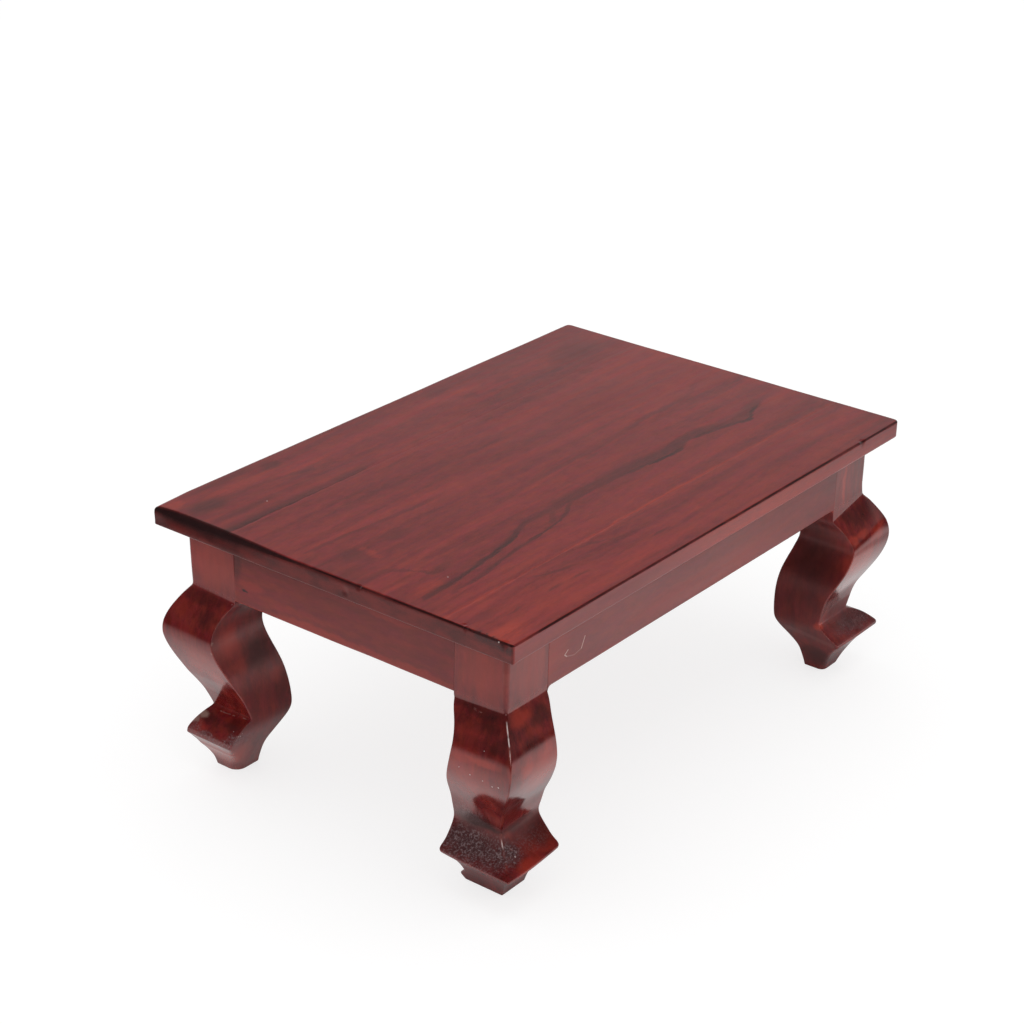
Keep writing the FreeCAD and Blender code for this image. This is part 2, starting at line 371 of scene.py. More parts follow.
def add_tenons(points, faces, arris, flat, half_span):
    """Draw the middle of each end out into a tenon."""
    outer = flat[:, 1].min()
    in_width = ((flat[:, 1] > outer + tenon_cheeks[0] - close)
                & (flat[:, 1] < outer + tenon_cheeks[1] + close))
    in_height = ((flat[:, 2] > rail_bottom + tenon_lower_shoulder - close)
                 & (flat[:, 2] < top_underside - tenon_upper_shoulder + close))
    chosen = at_tenon(flat, half_span) & in_width & in_height
    form = bmesh.new()
    wear = form.verts.layers.float.new("arris")
    verts = [form.verts.new(p) for p in points]
    for vert, value in zip(verts, arris):
        vert[wear] = value
    for face in faces:
        form.faces.new([verts[i] for i in face])
    form.verts.index_update()
    ends = [f for f in form.faces if all(chosen[v.index] for v in f.verts)]
    drawn = bmesh.ops.extrude_face_region(form, geom=ends)["geom"]
    bmesh.ops.delete(form, geom=ends, context="FACES_KEEP_BOUNDARY")
    for vert in (g for g in drawn if isinstance(g, bmesh.types.BMVert)):
        vert.co.x += math.copysign(tenon_length, vert.co.x)
    form.verts.index_update()
    new_points = np.array([v.co for v in form.verts])
    new_arris = np.array([v[wear] for v in form.verts])
    new_faces = [[v.index for v in f.verts] for f in form.faces]
    form.free()
    return new_points, new_faces, new_arris


# Legs

ring_side_points = 15
ring_corner_points = 6
leg_arris_round = 0.9 * mm
leg_wear_reach = 2.2 * mm
post_outer_round = 2.8 * mm
post_inner_round = 0.3 * mm
sole_round = 1.2 * mm
blunt_reach = 34 * mm

# What differs from leg to leg, in millimetres. The shoulder drops towards the inner end of each
# outer face, along the table's end and along its front or back. The toe curls up towards the same
# two ends. Some creases are filed soft: (level, over how many rings). The foot is blunt at some of
# its four corners: the radius at the floor. A splinter stands out from one foot: place, reach, how
# far. Each side stands further out than the drawing at some levels: (level, outwards).
leg_hand = {
    "front_left": {
        "seed": 11, "shoulder_drop": (2.4, 0.0), "toe_curl": (1.8, 3.0),
        "filed": {"high_x": (47, 4.0), "high_y": (47, 4.0)}, "blunt": {},
        "splinter": ((-204.5, -99.5, 5.5), 5.5, 4.6),
        "stray": {
            "low_y": [(0, -3.0), (12, -3.0), (20, 0.4), (26, 0.6), (33, 1.4), (42, 0.8), (50, 0.4),
                      (110, 0.6), (125, 0.0)],
            "low_x": [(0, 0.6), (20, 0.3), (50, 0.0), (90, 1.2), (115, 1.8), (136, 0.8), (140, 0.0)],
            "high_x": [(0, 1.0), (12, 0.6), (20, 0.0)],
        },
    },
    "front_right": {
        "seed": 12, "shoulder_drop": (0.0, 8.5), "toe_curl": (0.0, 0.6),
        "filed": {"high_x": (47, 1.6), "high_y": (47, 1.6)}, "blunt": {1: 4.0},
        "stray": {
            "high_x": [(0, 0.5), (12, 1.6), (22, 1.4), (29, 0.2), (34, 0.0), (96, 0.6), (118, 3.0),
                       (136, 2.4), (142, 1.2), (150, 0.0)],
            "high_y": [(0, 0.3), (12, 1.0), (22, 1.0), (29, 0.3), (34, 0.0)],
            "low_x": [(0, 1.2), (12, 0.9), (22, 0.0), (60, 0.0), (80, 0.6), (100, 0.0)],
        },
    },
    "back_left": {
        "seed": 13, "shoulder_drop": (2.2, 1.0), "toe_curl": (0.0, 0.0),
        "filed": {}, "blunt": {3: 7.0},
        "stray": {
            "low_x": [(0, 3.0), (20, 3.6), (32, 4.4), (45, 4.2), (56, 3.0), (70, 2.6), (105, 3.4),
                      (130, 3.0), (136, 2.4), (140, 0.0)],
            "high_x": [(0, 0.8), (8, 1.4), (19, 3.0), (25, 2.0), (31, 0.0), (50, -0.6), (62, -0.6),
                       (75, 0.4), (105, 0.7), (120, 0.2), (134, 0.0), (143, -0.3), (165, 0.3),
                       (186, 0.6)],
            "high_y": [(0, 0.6), (8, 1.4), (19, 3.2), (25, 2.2), (31, 0.0), (48, -0.8), (60, -1.2),
                       (75, 0.4), (105, 0.9), (120, 0.2), (134, -0.2), (143, -0.5), (165, 0.3),
                       (186, 0.8)],
        },
    },
    "back_right": {
        "seed": 14, "shoulder_drop": (1.5, 2.0), "toe_curl": (0.8, 0.0),
        "filed": {"high_x": (47, 2.0), "high_y": (47, 2.0)}, "blunt": {},
        "stray": {
            "low_x": [(0, 0.8), (20, 1.0), (60, 0.6), (110, 1.2), (136, 0.6), (140, 0.0)],
            "high_y": [(0, 0.2), (20, 1.0), (30, 0.0), (100, 0.0), (118, 0.8), (135, 0.0)],
        },
    },
}


def leg_skin(node, side_x, side_y):
    """The CAD leg in its own corner's terms: outwards from the post's outer faces, and up."""
    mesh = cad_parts[node].data
    points = np.array([v.co for v in mesh.vertices])
    local = np.stack([points[:, 0] * side_x - post_face_x,
                      points[:, 1] * side_y - post_face_y,
                      points[:, 2]], axis=1)
    triangles = [list(p.vertices) for p in mesh.polygons]
    return local, BVHTree.FromPolygons(local.tolist(), triangles)


def side_samples(local, tree, axis, direction):
    """Levels and reaches of one side of the leg, at the corners of its CAD solid."""
    same_level = 0.15 * mm
    middle = -post_width / 2
    ray = Vector((0, 0, 0))
    ray[axis] = direction
    found = {}
    in_post = (local[:, 2] > rail_bottom + 1 * mm) & (local[:, 2] < top_underside - 1 * mm)
    for point in local[~in_post]:
        start = Vector((middle, middle, min(max(point[2], same_level), top_underside - same_level)))
        place, _, _, _ = tree.ray_cast(start, ray)
        if place is not None and abs(place[axis] - point[axis]) < same_level:
            found.setdefault(round(point[2] / same_level), []).append((point[2], point[axis]))
    samples = np.array(sorted(tuple(np.mean(group, axis=0)) for group in found.values()))
    return samples[:, 0], samples[:, 1]


def through(levels, known_levels, known):
    """A curve through the known points: smooth where they turn gently, with a crease where not."""
    rise = np.diff(known_levels)
    slope = np.diff(known) / rise
    before = np.concatenate([slope[:1], slope])
    after = np.concatenate([slope, slope[-1:]])
    gentle = np.abs(np.arctan(after) - np.arctan(before)) < math.radians(14)
    mean = (before + after) / 2
    leaving = np.where(gentle, mean, after)[:-1]
    arriving = np.where(gentle, mean, before)[1:]
    i = np.clip(np.searchsorted(known_levels, levels) - 1, 0, len(rise) - 1)
    t = (levels - known_levels[i]) / rise[i]
    return ((2 * t ** 3 - 3 * t ** 2 + 1) * known[i] + (t ** 3 - 2 * t ** 2 + t) * rise[i] * leaving[i]
            + (3 * t ** 2 - 2 * t ** 3) * known[i + 1] + (t ** 3 - t ** 2) * rise[i] * arriving[i])


def softened(values, width):
    """Run a short weighted mean along the levels, so that a filed crease isn't knife sharp."""
    reach = int(3 * width) + 1
    weights = np.exp(-0.5 * (np.arange(-reach, reach + 1) / width) ** 2)
    padded = np.pad(values, reach, mode="edge")
    return np.convolve(padded, weights / weights.sum(), mode="valid")


def ring_points(low_x, high_x, low_y, high_y, radii):
    """A rounded rectangle, anticlockwise from the outer corner, and how near each point is to a corner."""
    share = (1 - np.cos(np.linspace(0, math.pi, ring_side_points + 2)[1:-1])) / 2
    corners = [(high_x, high_y, 1, 1), (low_x, high_y, -1, 1), (low_x, low_y, -1, -1),
               (high_x, low_y, 1, -1)]
    places = []
    worn = []
    for turn, (x, y, sign_x, sign_y) in enumerate(corners):
        radius = radii[turn]
        centre = np.array([x - sign_x * radius, y - sign_y * radius])
        angles = math.pi / 2 * (turn + np.linspace(0, 1, ring_corner_points))
        arc = centre + radius * np.stack([np.cos(angles), np.sin(angles)], axis=1)
        places.append(arc)
        worn.append(np.ones(ring_corner_points))
        next_x, next_y, next_sign_x, next_sign_y = corners[(turn + 1) % 4]
        next_radius = radii[(turn + 1) % 4]
        next_angle = math.pi / 2 * (turn + 1)
        start = arc[-1]
        next_centre = np.array([next_x - next_sign_x * next_radius, next_y - next_sign_y * next_radius])
        end = next_centre + next_radius * np.array([math.cos(next_angle), math.sin(next_angle)])
        places.append(start + (end - start) * share[:, None])
        run = np.linalg.norm(end - start) * np.minimum(share, 1 - share)
        worn.append(fading(run, leg_wear_reach))
    return np.concatenate(places), np.concatenate(worn)


def leg_sides(local, tree, levels, hand):
    """How far out each of the leg's four sides stands at each level."""
    sides = {}
    for name, axis, direction in (("high_x", 0, 1), ("low_x", 0, -1), ("high_y", 1, 1), ("low_y", 1, -1)):
        known_levels, known = side_samples(local, tree, axis, direction)
        stray_levels, strays = zip(*hand["stray"].get(name, [(0, 0)]))
        stray = np.interp(levels / mm, stray_levels, strays) * mm
        drawn = through(levels, known_levels, known) + direction * stray
        side = softened(drawn, 5.0 if name in ("low_x", "low_y") else 0.9)
        if name in hand["filed"]:
            level, rings = hand["filed"][name]
            share = np.exp(-((levels / mm - level) / 9) ** 2)
            side += (softened(drawn, rings) - side) * share
        sides[name] = side
    return sides


def leg_rings(levels, sides, hand):
    """The leg's skin ring by ring, and how worn it is: tucked in at the sole, squarer on the post."""
    near_floor = np.clip(sole_round - levels, 0, None)
    tucked = sole_round - np.sqrt(sole_round ** 2 - near_floor ** 2)
    post = rising(levels, rail_bottom - 6 * mm, 8 * mm)
    outer_radius = leg_arris_round + (post_outer_round - leg_arris_round) * post
    other_radius = leg_arris_round + (post_inner_round - leg_arris_round) * post
    rings = []
    arris = []
    for row, level in enumerate(levels):
        radii = []
        for turn in range(4):
            uneven = 1 + 0.3 * noise.noise(Vector((level / (22 * mm), turn * 5.3, hand["seed"])))
            blunt = hand["blunt"].get(turn, 0) * mm * fading(level, blunt_reach)
            radii.append((other_radius if turn else outer_radius)[row] * uneven + blunt)
        tuck = tucked[row]
        ring, worn = ring_points(sides["low_x"][row] + tuck, sides["high_x"][row] - tuck,
                                 sides["low_y"][row] + tuck, sides["high_y"][row] - tuck, radii)
        rings.append(np.column_stack([ring, np.full(len(ring), level)]))
        arris.append(worn)
    return np.concatenate(rings), np.concatenate(arris), len(rings[0])


def hand_wavered(points, seed):
    """Stray as hand work does: less on the post, and level at the floor and under the top."""
    moved = waver(points, leg_waver, 30 * mm, seed)
    moved = waver(moved, leg_waver * 0.2, 7 * mm, seed + 1)
    moved += (points - moved) * rising(points[:, 2], rail_bottom, 8 * mm)[:, None] * 0.7
    held = rising(points[:, 2], 0, 3 * mm) * rising(-points[:, 2], -top_underside, 3 * mm)
    points[:, 2] += (moved[:, 2] - points[:, 2]) * held
    points[:, :2] = moved[:, :2]
    return points


def leg_piece(corner, signs):
    hand = leg_hand[corner]
    side_x, side_y = signs
    local, tree = leg_skin("leg_" + corner, side_x, side_y)
    levels = np.append(np.arange(0, top_underside, leg_step), top_underside)
    points, arris, around = leg_rings(levels, leg_sides(local, tree, levels, hand), hand)
    points[:, 2] -= shoulder_drop(points, hand["shoulder_drop"])
    points[:, 2] += toe_curl(points, hand["toe_curl"])
    points = np.stack([(points[:, 0] + post_face_x) * side_x,
                       (points[:, 1] + post_face_y) * side_y,
                       points[:, 2]], axis=1)
    points = hand_wavered(points, hand["seed"])
    if "splinter" in hand:
        centre, reach, push = hand["splinter"]
        away = np.linalg.norm(points - np.array(centre) * mm, axis=1)
        points[:, 1] -= side_y * push * mm * fading(away, reach * mm) ** 0.8
    faces = loft_faces(len(levels), around, side_x * side_y < 0)
    return make_piece("leg_" + corner + "_shaped", points, faces, arris, ["leg_" + corner])


def towards_inner_ends(points, amounts, power):
    """An amount that grows towards the inner end of each outer face: along the end, then the long side."""
    along_end, along_side = (np.clip(-points[:, axis] / post_width, 0, 1) ** power for axis in (1, 0))
    return (amounts[0] * along_end + amounts[1] * along_side) * mm


def shoulder_drop(points, drops):
    """How far the shoulder line sinks towards the inner end of each outer face."""
    level = points[:, 2]
    below = rising(level, rail_bottom - 42 * mm, 30 * mm)
    fade = below * below * (3 - 2 * below) * rising(-level, -top_underside, 30 * mm)
    return towards_inner_ends(points, drops, 1) * fade


def toe_curl(points, rises):
    """How far the toe's lip curls up towards the inner end of each outer face."""
    level = points[:, 2]
    fade = rising(level, 14 * mm, 14 * mm) * rising(-level, -60 * mm, 22 * mm)
    return towards_inner_ends(points, rises, 2) * fade


def loft_faces(rows, columns, flipped):
    """Square faces between neighbouring rings, and one face over each end."""
    index = np.arange(rows * columns).reshape(rows, columns)
    following = np.roll(index, -1, axis=1)
    quads = np.stack([index[:-1], following[:-1], following[1:], index[1:]], axis=-1).reshape(-1, 4)
    faces = [list(q) for q in quads] + [list(index[0, ::-1]), list(index[-1])]
    return [f[::-1] for f in faces] if flipped else faces


# Material helpers

def in_three(sizes):
    return sizes if isinstance(sizes, tuple) else (sizes,) * 3


class Finish:
    """The node tree of one material or of the world, with short ways to add to it."""

    def __init__(self, name, world=False):
        kind = bpy.data.worlds if world else bpy.data.materials
        self.made = kind.new(name)
        self.made.use_nodes = True
        self.tree = self.made.node_tree
        self.tree.nodes.clear()

    def add(self, kind, sockets=(), **settings):
        made = self.tree.nodes.new("ShaderNode" + kind)
        for name, value in settings.items():
            setattr(made, name, value)
        for socket, value in dict(sockets).items():
            self.put(made.inputs[socket], value)
        return made

    def put(self, socket, value):
        """Link a node's output to a socket, or set the socket to a plain value."""
        if isinstance(value, bpy.types.NodeSocket):
            self.tree.links.new(value, socket)
        else:
            socket.default_value = value

    def math(self, operation, *values):
        return self.add("Math", dict(enumerate(values)), operation=operation).outputs[0]

    def product(self, first, *others):
        for other in others:
            first = self.math("MULTIPLY", first, other)
        return first

    def scaled_sum(self, value, scale, more):
        """The value times the scale, plus what is more."""
        return self.math("MULTIPLY_ADD", value, scale, more)

    def most(self, first, second):
        return self.math("MAXIMUM", first, second)

    def place(self):
        """Where each point lies on the table."""
        return self.add("TexCoord").outputs["Object"]

    def facing(self):
        """The direction that the surface faces."""
        return self.add("NewGeometry").outputs["Normal"]

    def wear(self):
        """How near an arris is, from the attribute that each shaped piece carries."""
        return self.add("Attribute", attribute_name="arris").outputs["Fac"]

    def split(self, where):
        return self.add("SeparateXYZ", {"Vector": where}).outputs[:3]

    def join(self, x, y, z):
        return self.add("CombineXYZ", {0: x, 1: y, 2: z}).outputs[0]

    def stretched(self, where, sizes):
        """The place measured in these sizes along its three directions: millimetres, or one for all."""
        scale = [1 / (size * mm) for size in in_three(sizes)]
        return self.add("Mapping", {"Vector": where, "Scale": scale}).outputs[0]

    def noise(self, where, sizes, detail=2.0, rough=0.55):
        """Cloudy noise whose lumps have these sizes."""
        made = self.add("TexNoise", {"Vector": self.stretched(where, sizes), "Scale": 1.0,
                                     "Detail": detail, "Roughness": rough})
        return made.outputs["Fac"]

    def strayed(self, where, amounts, sizes):
        """The place moved by noise, so that what is drawn there has an uneven edge."""
        made = self.add("TexNoise", {"Vector": self.stretched(where, sizes), "Scale": 1.0, "Detail": 2.0})
        half = (0.5, 0.5, 0.5)
        centred = self.add("VectorMath", {0: made.outputs["Color"], 1: half}, operation="SUBTRACT")
        reach = [amount * mm for amount in in_three(amounts)]
        moved = self.add("VectorMath", {0: centred.outputs[0], 1: reach, 2: where},
                         operation="MULTIPLY_ADD")
        return moved.outputs[0]

    def between(self, value, low, high, to_low=0.0, to_high=1.0):
        """Ease from one value to another while the input runs from low to high."""
        made = self.add("MapRange", {"Value": value, "From Min": low, "From Max": high,
                                     "To Min": to_low, "To Max": to_high},
                        interpolation_type="SMOOTHSTEP")
        return made.outputs["Result"]

    def tint(self, factor, first, second):
        made = self.add("Mix", {0: factor}, data_type="RGBA")
        for socket, colour in ((6, first), (7, second)):
            self.put(made.inputs[socket], (*colour, 1) if isinstance(colour, tuple) else colour)
        return made.outputs[2]

    def drawn(self, along, points):
        """The height of a drawn curve at each place along, from a few points (place, height)."""
        places, heights = zip(*points)
        spare = (max(heights) - min(heights)) * 0.25 + 1e-6
        low = min(heights) - spare
        high = max(heights) + spare
        share = self.add("MapRange", {"Value": along, "From Min": places[0], "From Max": places[-1]})
        curve = self.add("FloatCurve", {"Value": share.outputs[0]})
        line = curve.mapping.curves[0]
        spots = [((p - places[0]) / (places[-1] - places[0]), (h - low) / (high - low)) for p, h in points]
        line.points[0].location = spots[0]
        line.points[1].location = spots[-1]
        for spot in spots[1:-1]:
            line.points.new(*spot)
        curve.mapping.update()
        return self.add("MapRange", {"Value": curve.outputs[0], "To Min": low, "To Max": high}).outputs[0]

    def line(self, along, across, points, core, below, above):
        """A drawn line of the grain: strong over its core, fading out below and above it.

        The points give the place along, the place across and the strength there, in millimetres.
        """
        middle = self.drawn(along, [(x * mm, y * mm) for x, y, _ in points])
        strength = self.drawn(along, [(x * mm, s) for x, _, s in points])
        gap = self.math("SUBTRACT", across, middle)
        over = self.between(gap, core / 2, core / 2 + above, 1.0, 0.0)
        under = self.between(gap, -core / 2 - below, -core / 2, 0.0, 1.0)
        return self.product(strength, self.product(over, under))

    def patch(self, where, centre, reach, strength):
        """A soft-edged patch: its strength in the middle, nothing beyond its reach. Sizes in millimetres."""
        local = self.add("Mapping", {"Vector": where,
                                     "Location": [-c / r for c, r in zip(centre, reach)],
                                     "Scale": [1 / (r * mm) for r in reach]}).outputs[0]
        length = self.add("VectorMath", {0: local}, operation="LENGTH").outputs["Value"]
        return self.between(length, 0.3, 1.0, strength, 0.0)

    def scratch(self, where, points, width):
        """A thin stroke through the points, in millimetres: one on it, nothing beyond half its width."""
        total = 0.0
        for first, second in zip(points, points[1:]):
            start = Vector(first) * mm
            run = Vector(second) * mm - start
            from_start = self.add("VectorMath", {0: where, 1: start}, operation="SUBTRACT").outputs[0]
            step = run / run.length_squared
            along = self.add("VectorMath", {0: from_start, 1: step}, operation="DOT_PRODUCT")
            share = self.add("Clamp", {"Value": along.outputs["Value"]}).outputs[0]
            reached = self.add("VectorMath", {0: run, "Scale": share}, operation="SCALE").outputs[0]
            gap = self.add("VectorMath", {0: from_start, 1: reached}, operation="DISTANCE").outputs["Value"]
            stroke = self.between(gap, 0.2 * width * mm, 0.5 * width * mm, 1.0, 0.0)
            total = self.most(stroke, total)
        return total

    def patches(self, where, listed):
        """All the patches of a list laid over one another."""
        total = 0.0
        for centre, reach, strength in listed:
            total = self.math("ADD", self.patch(where, centre, reach, strength), total)
        return total

    def lines(self, along, across, listed, shade):
        """All the drawn lines of a list, wherever they are stronger than the shade that is there."""
        for points, *widths in listed:
            shade = self.most(shade, self.line(along, across, points, *(width * mm for width in widths)))
        return shade


# Wood and lacquer

def grain_along(finish, axis):
    """Object coordinates with the grain's direction first."""
    x, y, z = finish.split(finish.place())
    return finish.join(*{"x": (x, y, z), "y": (y, x, z), "z": (z, x, y)}[axis])


def red_stain(finish, grain, tones, mottle=0.2, hair=(6, 1.1)):
    """Stain that sinks unevenly into the grain: its dark, middle and bright tones, and the hairs' sizes."""
    bent = finish.strayed(grain, (0, 14, 14), (190, 110, 110))
    broad = finish.noise(bent, (330, 22, 22), detail=2.0)
    medium = finish.noise(bent, (90, 4.6, 4.6), detail=2.0)
    hairy = finish.strayed(bent, (5, 4, 4), (9, 6, 6))
    blotch = finish.noise(hairy, (11, 4, 4), detail=3.0, rough=0.6)
    fine = finish.noise(hairy, (hair[0], hair[1], hair[1]), detail=2.0, rough=0.6)
    depth = finish.scaled_sum(broad, 0.38, finish.product(medium, 0.48 - mottle))
    depth = finish.scaled_sum(blotch, mottle, depth)
    depth = finish.scaled_sum(fine, 0.14, depth)
    ramp = finish.add("ValToRGB", {"Fac": depth})
    stops = ramp.color_ramp.elements
    stops.new(0.5)
    for stop, position, tone in zip(stops, (0.38, 0.5, 0.63), tones):
        stop.position = position
        stop.color = (*tone, 1)
    hue = finish.noise(hairy, (15, 5, 5), detail=2.0)
    turn = finish.tint(finish.between(hue, 0.34, 0.66), (0.98, 0.90, 1.20), (1.02, 1.12, 0.92))
    colour = finish.add("VectorMath", {0: ramp.outputs[0], 1: turn}, operation="MULTIPLY").outputs[0]
    return colour, fine, medium


def varnished(finish, colour, fine, medium, roughness, relief, tint=(1.0, 0.62, 0.60), gloss=0.64):
    """The lacquer over the stain: its gloss varies a little, and the grain telegraphs through it."""
    height = finish.scaled_sum(fine, 0.4, finish.product(medium, 0.6))
    bump = finish.add("Bump", {"Height": height, "Strength": 1.0, "Distance": relief}).outputs[0]
    shader = finish.add("BsdfPrincipled", {"Base Color": colour, "Roughness": roughness, "Normal": bump,
                                           "Specular IOR Level": gloss, "Specular Tint": (*tint, 1)})
    finish.add("OutputMaterial", {"Surface": shader.outputs[0]})
    return finish.made


figure_brown = (0.042, 0.0100, 0.0100)
raw_red = (0.340, 0.032, 0.0165)
arris_crimson = (0.024, 0.0030, 0.0037)
soaked_black = (0.016, 0.0042, 0.0048)
gum_brown = (0.030, 0.0110, 0.0120)
pit_black = (0.012, 0.0035, 0.0045)
# Colour of the dark patches, which are partly stain and partly painted shade
stain_and_shade_brown = (0.022, 0.0060, 0.0058)
scratch_grey = (0.46, 0.30, 0.27)
pale_nib = (0.60, 0.50, 0.48)
dust_film = (0.050, 0.0190, 0.0220)
dust_speck = (0.210, 0.150, 0.155)
worn_edge = (0.26, 0.060, 0.045)
painted_glint_pink = (0.56, 0.46, 0.44)
# Colour of a painted highlight: the glints on the legs' outer arrises
bare_wood = (0.215, 0.120, 0.100)
pale_line = (0.240, 0.110, 0.100)

# Dark lines of the boards' figure: places along and across the top in millimetres, then how dark
main_figure = [(-217, -71.5, 0.0), (-205, -71, 0.75), (-183, -70, 0.9), (-152, -66, 0.95),
               (-133, -63.6, 1.0), (-114, -59.7, 1.0), (-97, -54, 0.8), (-81, -51, 0.65), (-64, -51, 0.6),
               (-45, -53, 0.7), (-5, -53.5, 0.6), (26, -55.8, 0.9), (46, -58, 1.0), (73, -60, 1.0),
               (83, -59, 0.8), (95, -54.5, 0.5), (104, -55, 0.8), (117, -57.5, 0.85), (134, -60.5, 0.9),
               (146, -63, 0.8), (153, -66, 0.9), (158, -67, 1.0), (163, -64.5, 1.0), (169, -61, 1.0),
               (182, -56.5, 0.85), (196, -53.5, 0.4), (210, -54, 0.0)]
lower_figure = [(-200, -79.4, 0.0), (-185, -78.7, 0.5), (-167, -77.7, 0.65), (-142, -73.8, 0.75),
                (-117, -70.7, 0.6), (-94, -69, 0.8), (-74, -66.7, 0.8), (-58, -62, 0.7), (-46, -56, 0.5),
                (-30, -54, 0.0)]
figure_shade = [(-64, -52, 0.0), (-42, -51, 0.6), (0, -51, 0.65), (40, -52, 0.7), (75, -54, 0.75),
                (100, -52, 0.7), (125, -56, 0.65), (150, -60, 0.55), (172, -57, 0.6), (196, -52, 0.0)]
figure_link = [(-82, -68, 0.0), (-77, -65, 0.4), (-68, -58, 0.45), (-60, -53, 0.3), (-55, -50, 0.0)]
curl_figure = [(-230, -27.5, 0.4), (-214, -28, 0.45), (-203, -28.5, 0.45), (-196, -33, 0.4),
               (-191, -39, 0.45), (-188, -48, 0.5), (-182, -52.3, 0.5), (-174, -51, 0.35),
               (-160, -48, 0.0)]
middle_line = [(-218, 27, 0.0), (-205, 26.3, 0.4), (-176, 24.5, 0.45), (-160, 22.5, 0.5),
               (-145, 21.3, 0.35), (-130, 20.5, 0.4), (-118, 19, 0.45), (-100, 18.5, 0.3), (-78, 17, 0.0)]
lower_middle_line = [(-110, -22, 0.0), (-80, -20, 0.15), (-20, -14.5, 0.3), (20, -14, 0.4), (45, -14, 0.4),
                     (70, -12, 0.3), (95, -10, 0.4), (112, -7.5, 0.35), (130, -9, 0.35), (150, -8, 0.35),
                     (175, -5, 0.25), (186, 0.5, 0.3), (198, 1.2, 0.2), (206, 2, 0.0)]
back_line = [(-200, 126, 0.0), (-189, 124, 0.4), (-165, 122, 0.35), (-150, 121, 0.3), (-130, 116, 0.4),
             (-119, 113, 0.5), (-112, 113, 0.0)]
back_seam = [(-230, 84.5, 0.9), (-200, 84.5, 0.95), (-170, 84.5, 0.9), (-150, 84.3, 0.85),
             (-134, 84.2, 0.6), (-126, 84.2, 0.45), (-117, 84.2, 0.7), (-98, 84.6, 0.65), (-84, 86, 0.35),
             (-66, 90, 0.0)]
front_wisp = [(-152, -102, 0.0), (-146, -104.5, 0.4), (-135, -109, 0.5), (-121, -112.5, 0.4),
              (-112, -114, 0.0)]
second_wisp = [(-96, -101, 0.0), (-88, -102, 0.4), (-76, -106, 0.35), (-68, -109, 0.0)]
front_dashes = [(-200, -123, 0.0), (-190, -123, 0.45), (-178, -123, 0.1), (-160, -122.5, 0.15),
                (-150, -122.3, 0.45), (-138, -123, 0.1), (-124, -123.6, 0.5), (-112, -124, 0.0),
                (-75, -125, 0.3), (-60, -125.5, 0.05), (-42, -126, 0.5), (-30, -126, 0.0)]
top_dark_lines = [
    (main_figure, 1.6, 1.6, 3.4),
    (lower_figure, 1.0, 1.4, 2.0),
    (figure_shade, 4.5, 2.6, 6.5),
    (figure_link, 2.5, 2.5, 2.5),
    (curl_figure, 2.4, 3.6, 3.6),
    (middle_line, 1.2, 2.0, 2.0),
    (lower_middle_line, 1.5, 2.0, 4.0),
    (back_line, 1.5, 2.5, 3.0),
    (back_seam, 0.3, 0.4, 12.0),
    (front_wisp, 1.0, 1.6, 1.6),
    (second_wisp, 1.0, 1.6, 1.6),
    (front_dashes, 0.8, 1.2, 1.2),
]
front_seam = [(-230, -96.2, 0.7), (-160, -96.6, 0.7), (-118, -96.3, 0.65), (-74, -97, 0.6),
              (-50, -95.5, 0.75), (0, -95.3, 0.8), (60, -95.8, 0.65), (140, -96.2, 0.55),
              (185, -96.3, 0.45), (230, -96.5, 0.25)]
seam_glow = [(-230, -97, 0.1), (-130, -97, 0.15), (-40, -97, 0.3), (20, -98, 0.4), (90, -98, 0.3),
             (160, -97, 0.2), (230, -97, 0.1)]
top_bright_lines = [
    (front_seam, 0.8, 1.8, 1.8),
    (seam_glow, 3.0, 5.0, 4.0),
]

# Soft patches of the top. Those of its upper face, in millimetres: place along and across, reach
# along and across, strength
dark_face_patches = [
    (-205, 124, 26, 12, 0.75), (-170, 145, 55, 7, 0.50), (-130, 138, 12, 8, 0.50),
    (-195, 102, 45, 5, 0.40), (-160, 95, 60, 12, 0.15), (-199, 2, 15, 17, 0.40), (-158, 2, 16, 9, 0.32),
    (-222, -10, 18, 22, 0.22), (185, 112, 42, 19, 0.50), (48, 137, 22, 8, 0.30), (60, 115, 12, 5, 0.35),
    (101, 117, 18, 5, 0.28), (142, 98, 14, 4, 0.30), (155, 79, 11, 5, 0.35), (82, 77, 13, 4, 0.28),
    (110, 47, 80, 24, 0.18), (-95, 52, 14, 3, 0.25), (-208, -113, 17, 6, 0.30), (184, -110, 28, 8, 0.18),
    (-105, -90, 14, 6, 0.18), (60, -108, 120, 9, 0.14), (-20, 30, 90, 40, 0.08),
]
# Towards the front left corner the bright patches are partly the stain's own tone and partly painted light,
# lighter towards the front left
bright_face_patches = [
    (-168, 132, 50, 7, 0.45), (-218, 141, 11, 7, 0.60), (196, -62, 20, 6, 0.30),
    (-200, -62, 20, 6, 0.30), (-75, -58, 17, 4, 0.22), (-120, -87, 130, 9, 0.20),
    (-205, -100, 34, 12, 0.25), (60, 124, 26, 5, 0.16), (0, 96, 60, 10, 0.12), (224, 20, 7, 150, 0.15),
    (-80, 22, 24, 2, 0.2), (-187, 3, 5, 4, 0.30), (-188, -4, 5, 5, 0.55), (-189, -11, 5, 5, 0.40),
    (-192, -42, 9, 4, 0.25), (-205, -62, 26, 9, 0.25), (130, -80, 90, 10, 0.15),
]
bright_edge_patches = [
    (-226, -138, 36, 16, 0.75), (-140, -138, 130, 12, 0.34), (60, -138, 160, 10, 0.26),
    (-170, -120, 90, 22, 0.30), (175, -138, 70, 12, 0.25),
]


def on_face(listed, depth=20):
    """Patches of the upper face, which reach this far down."""
    return [((x, y, 199), (along, across, depth), strength) for x, y, along, across, strength in listed]


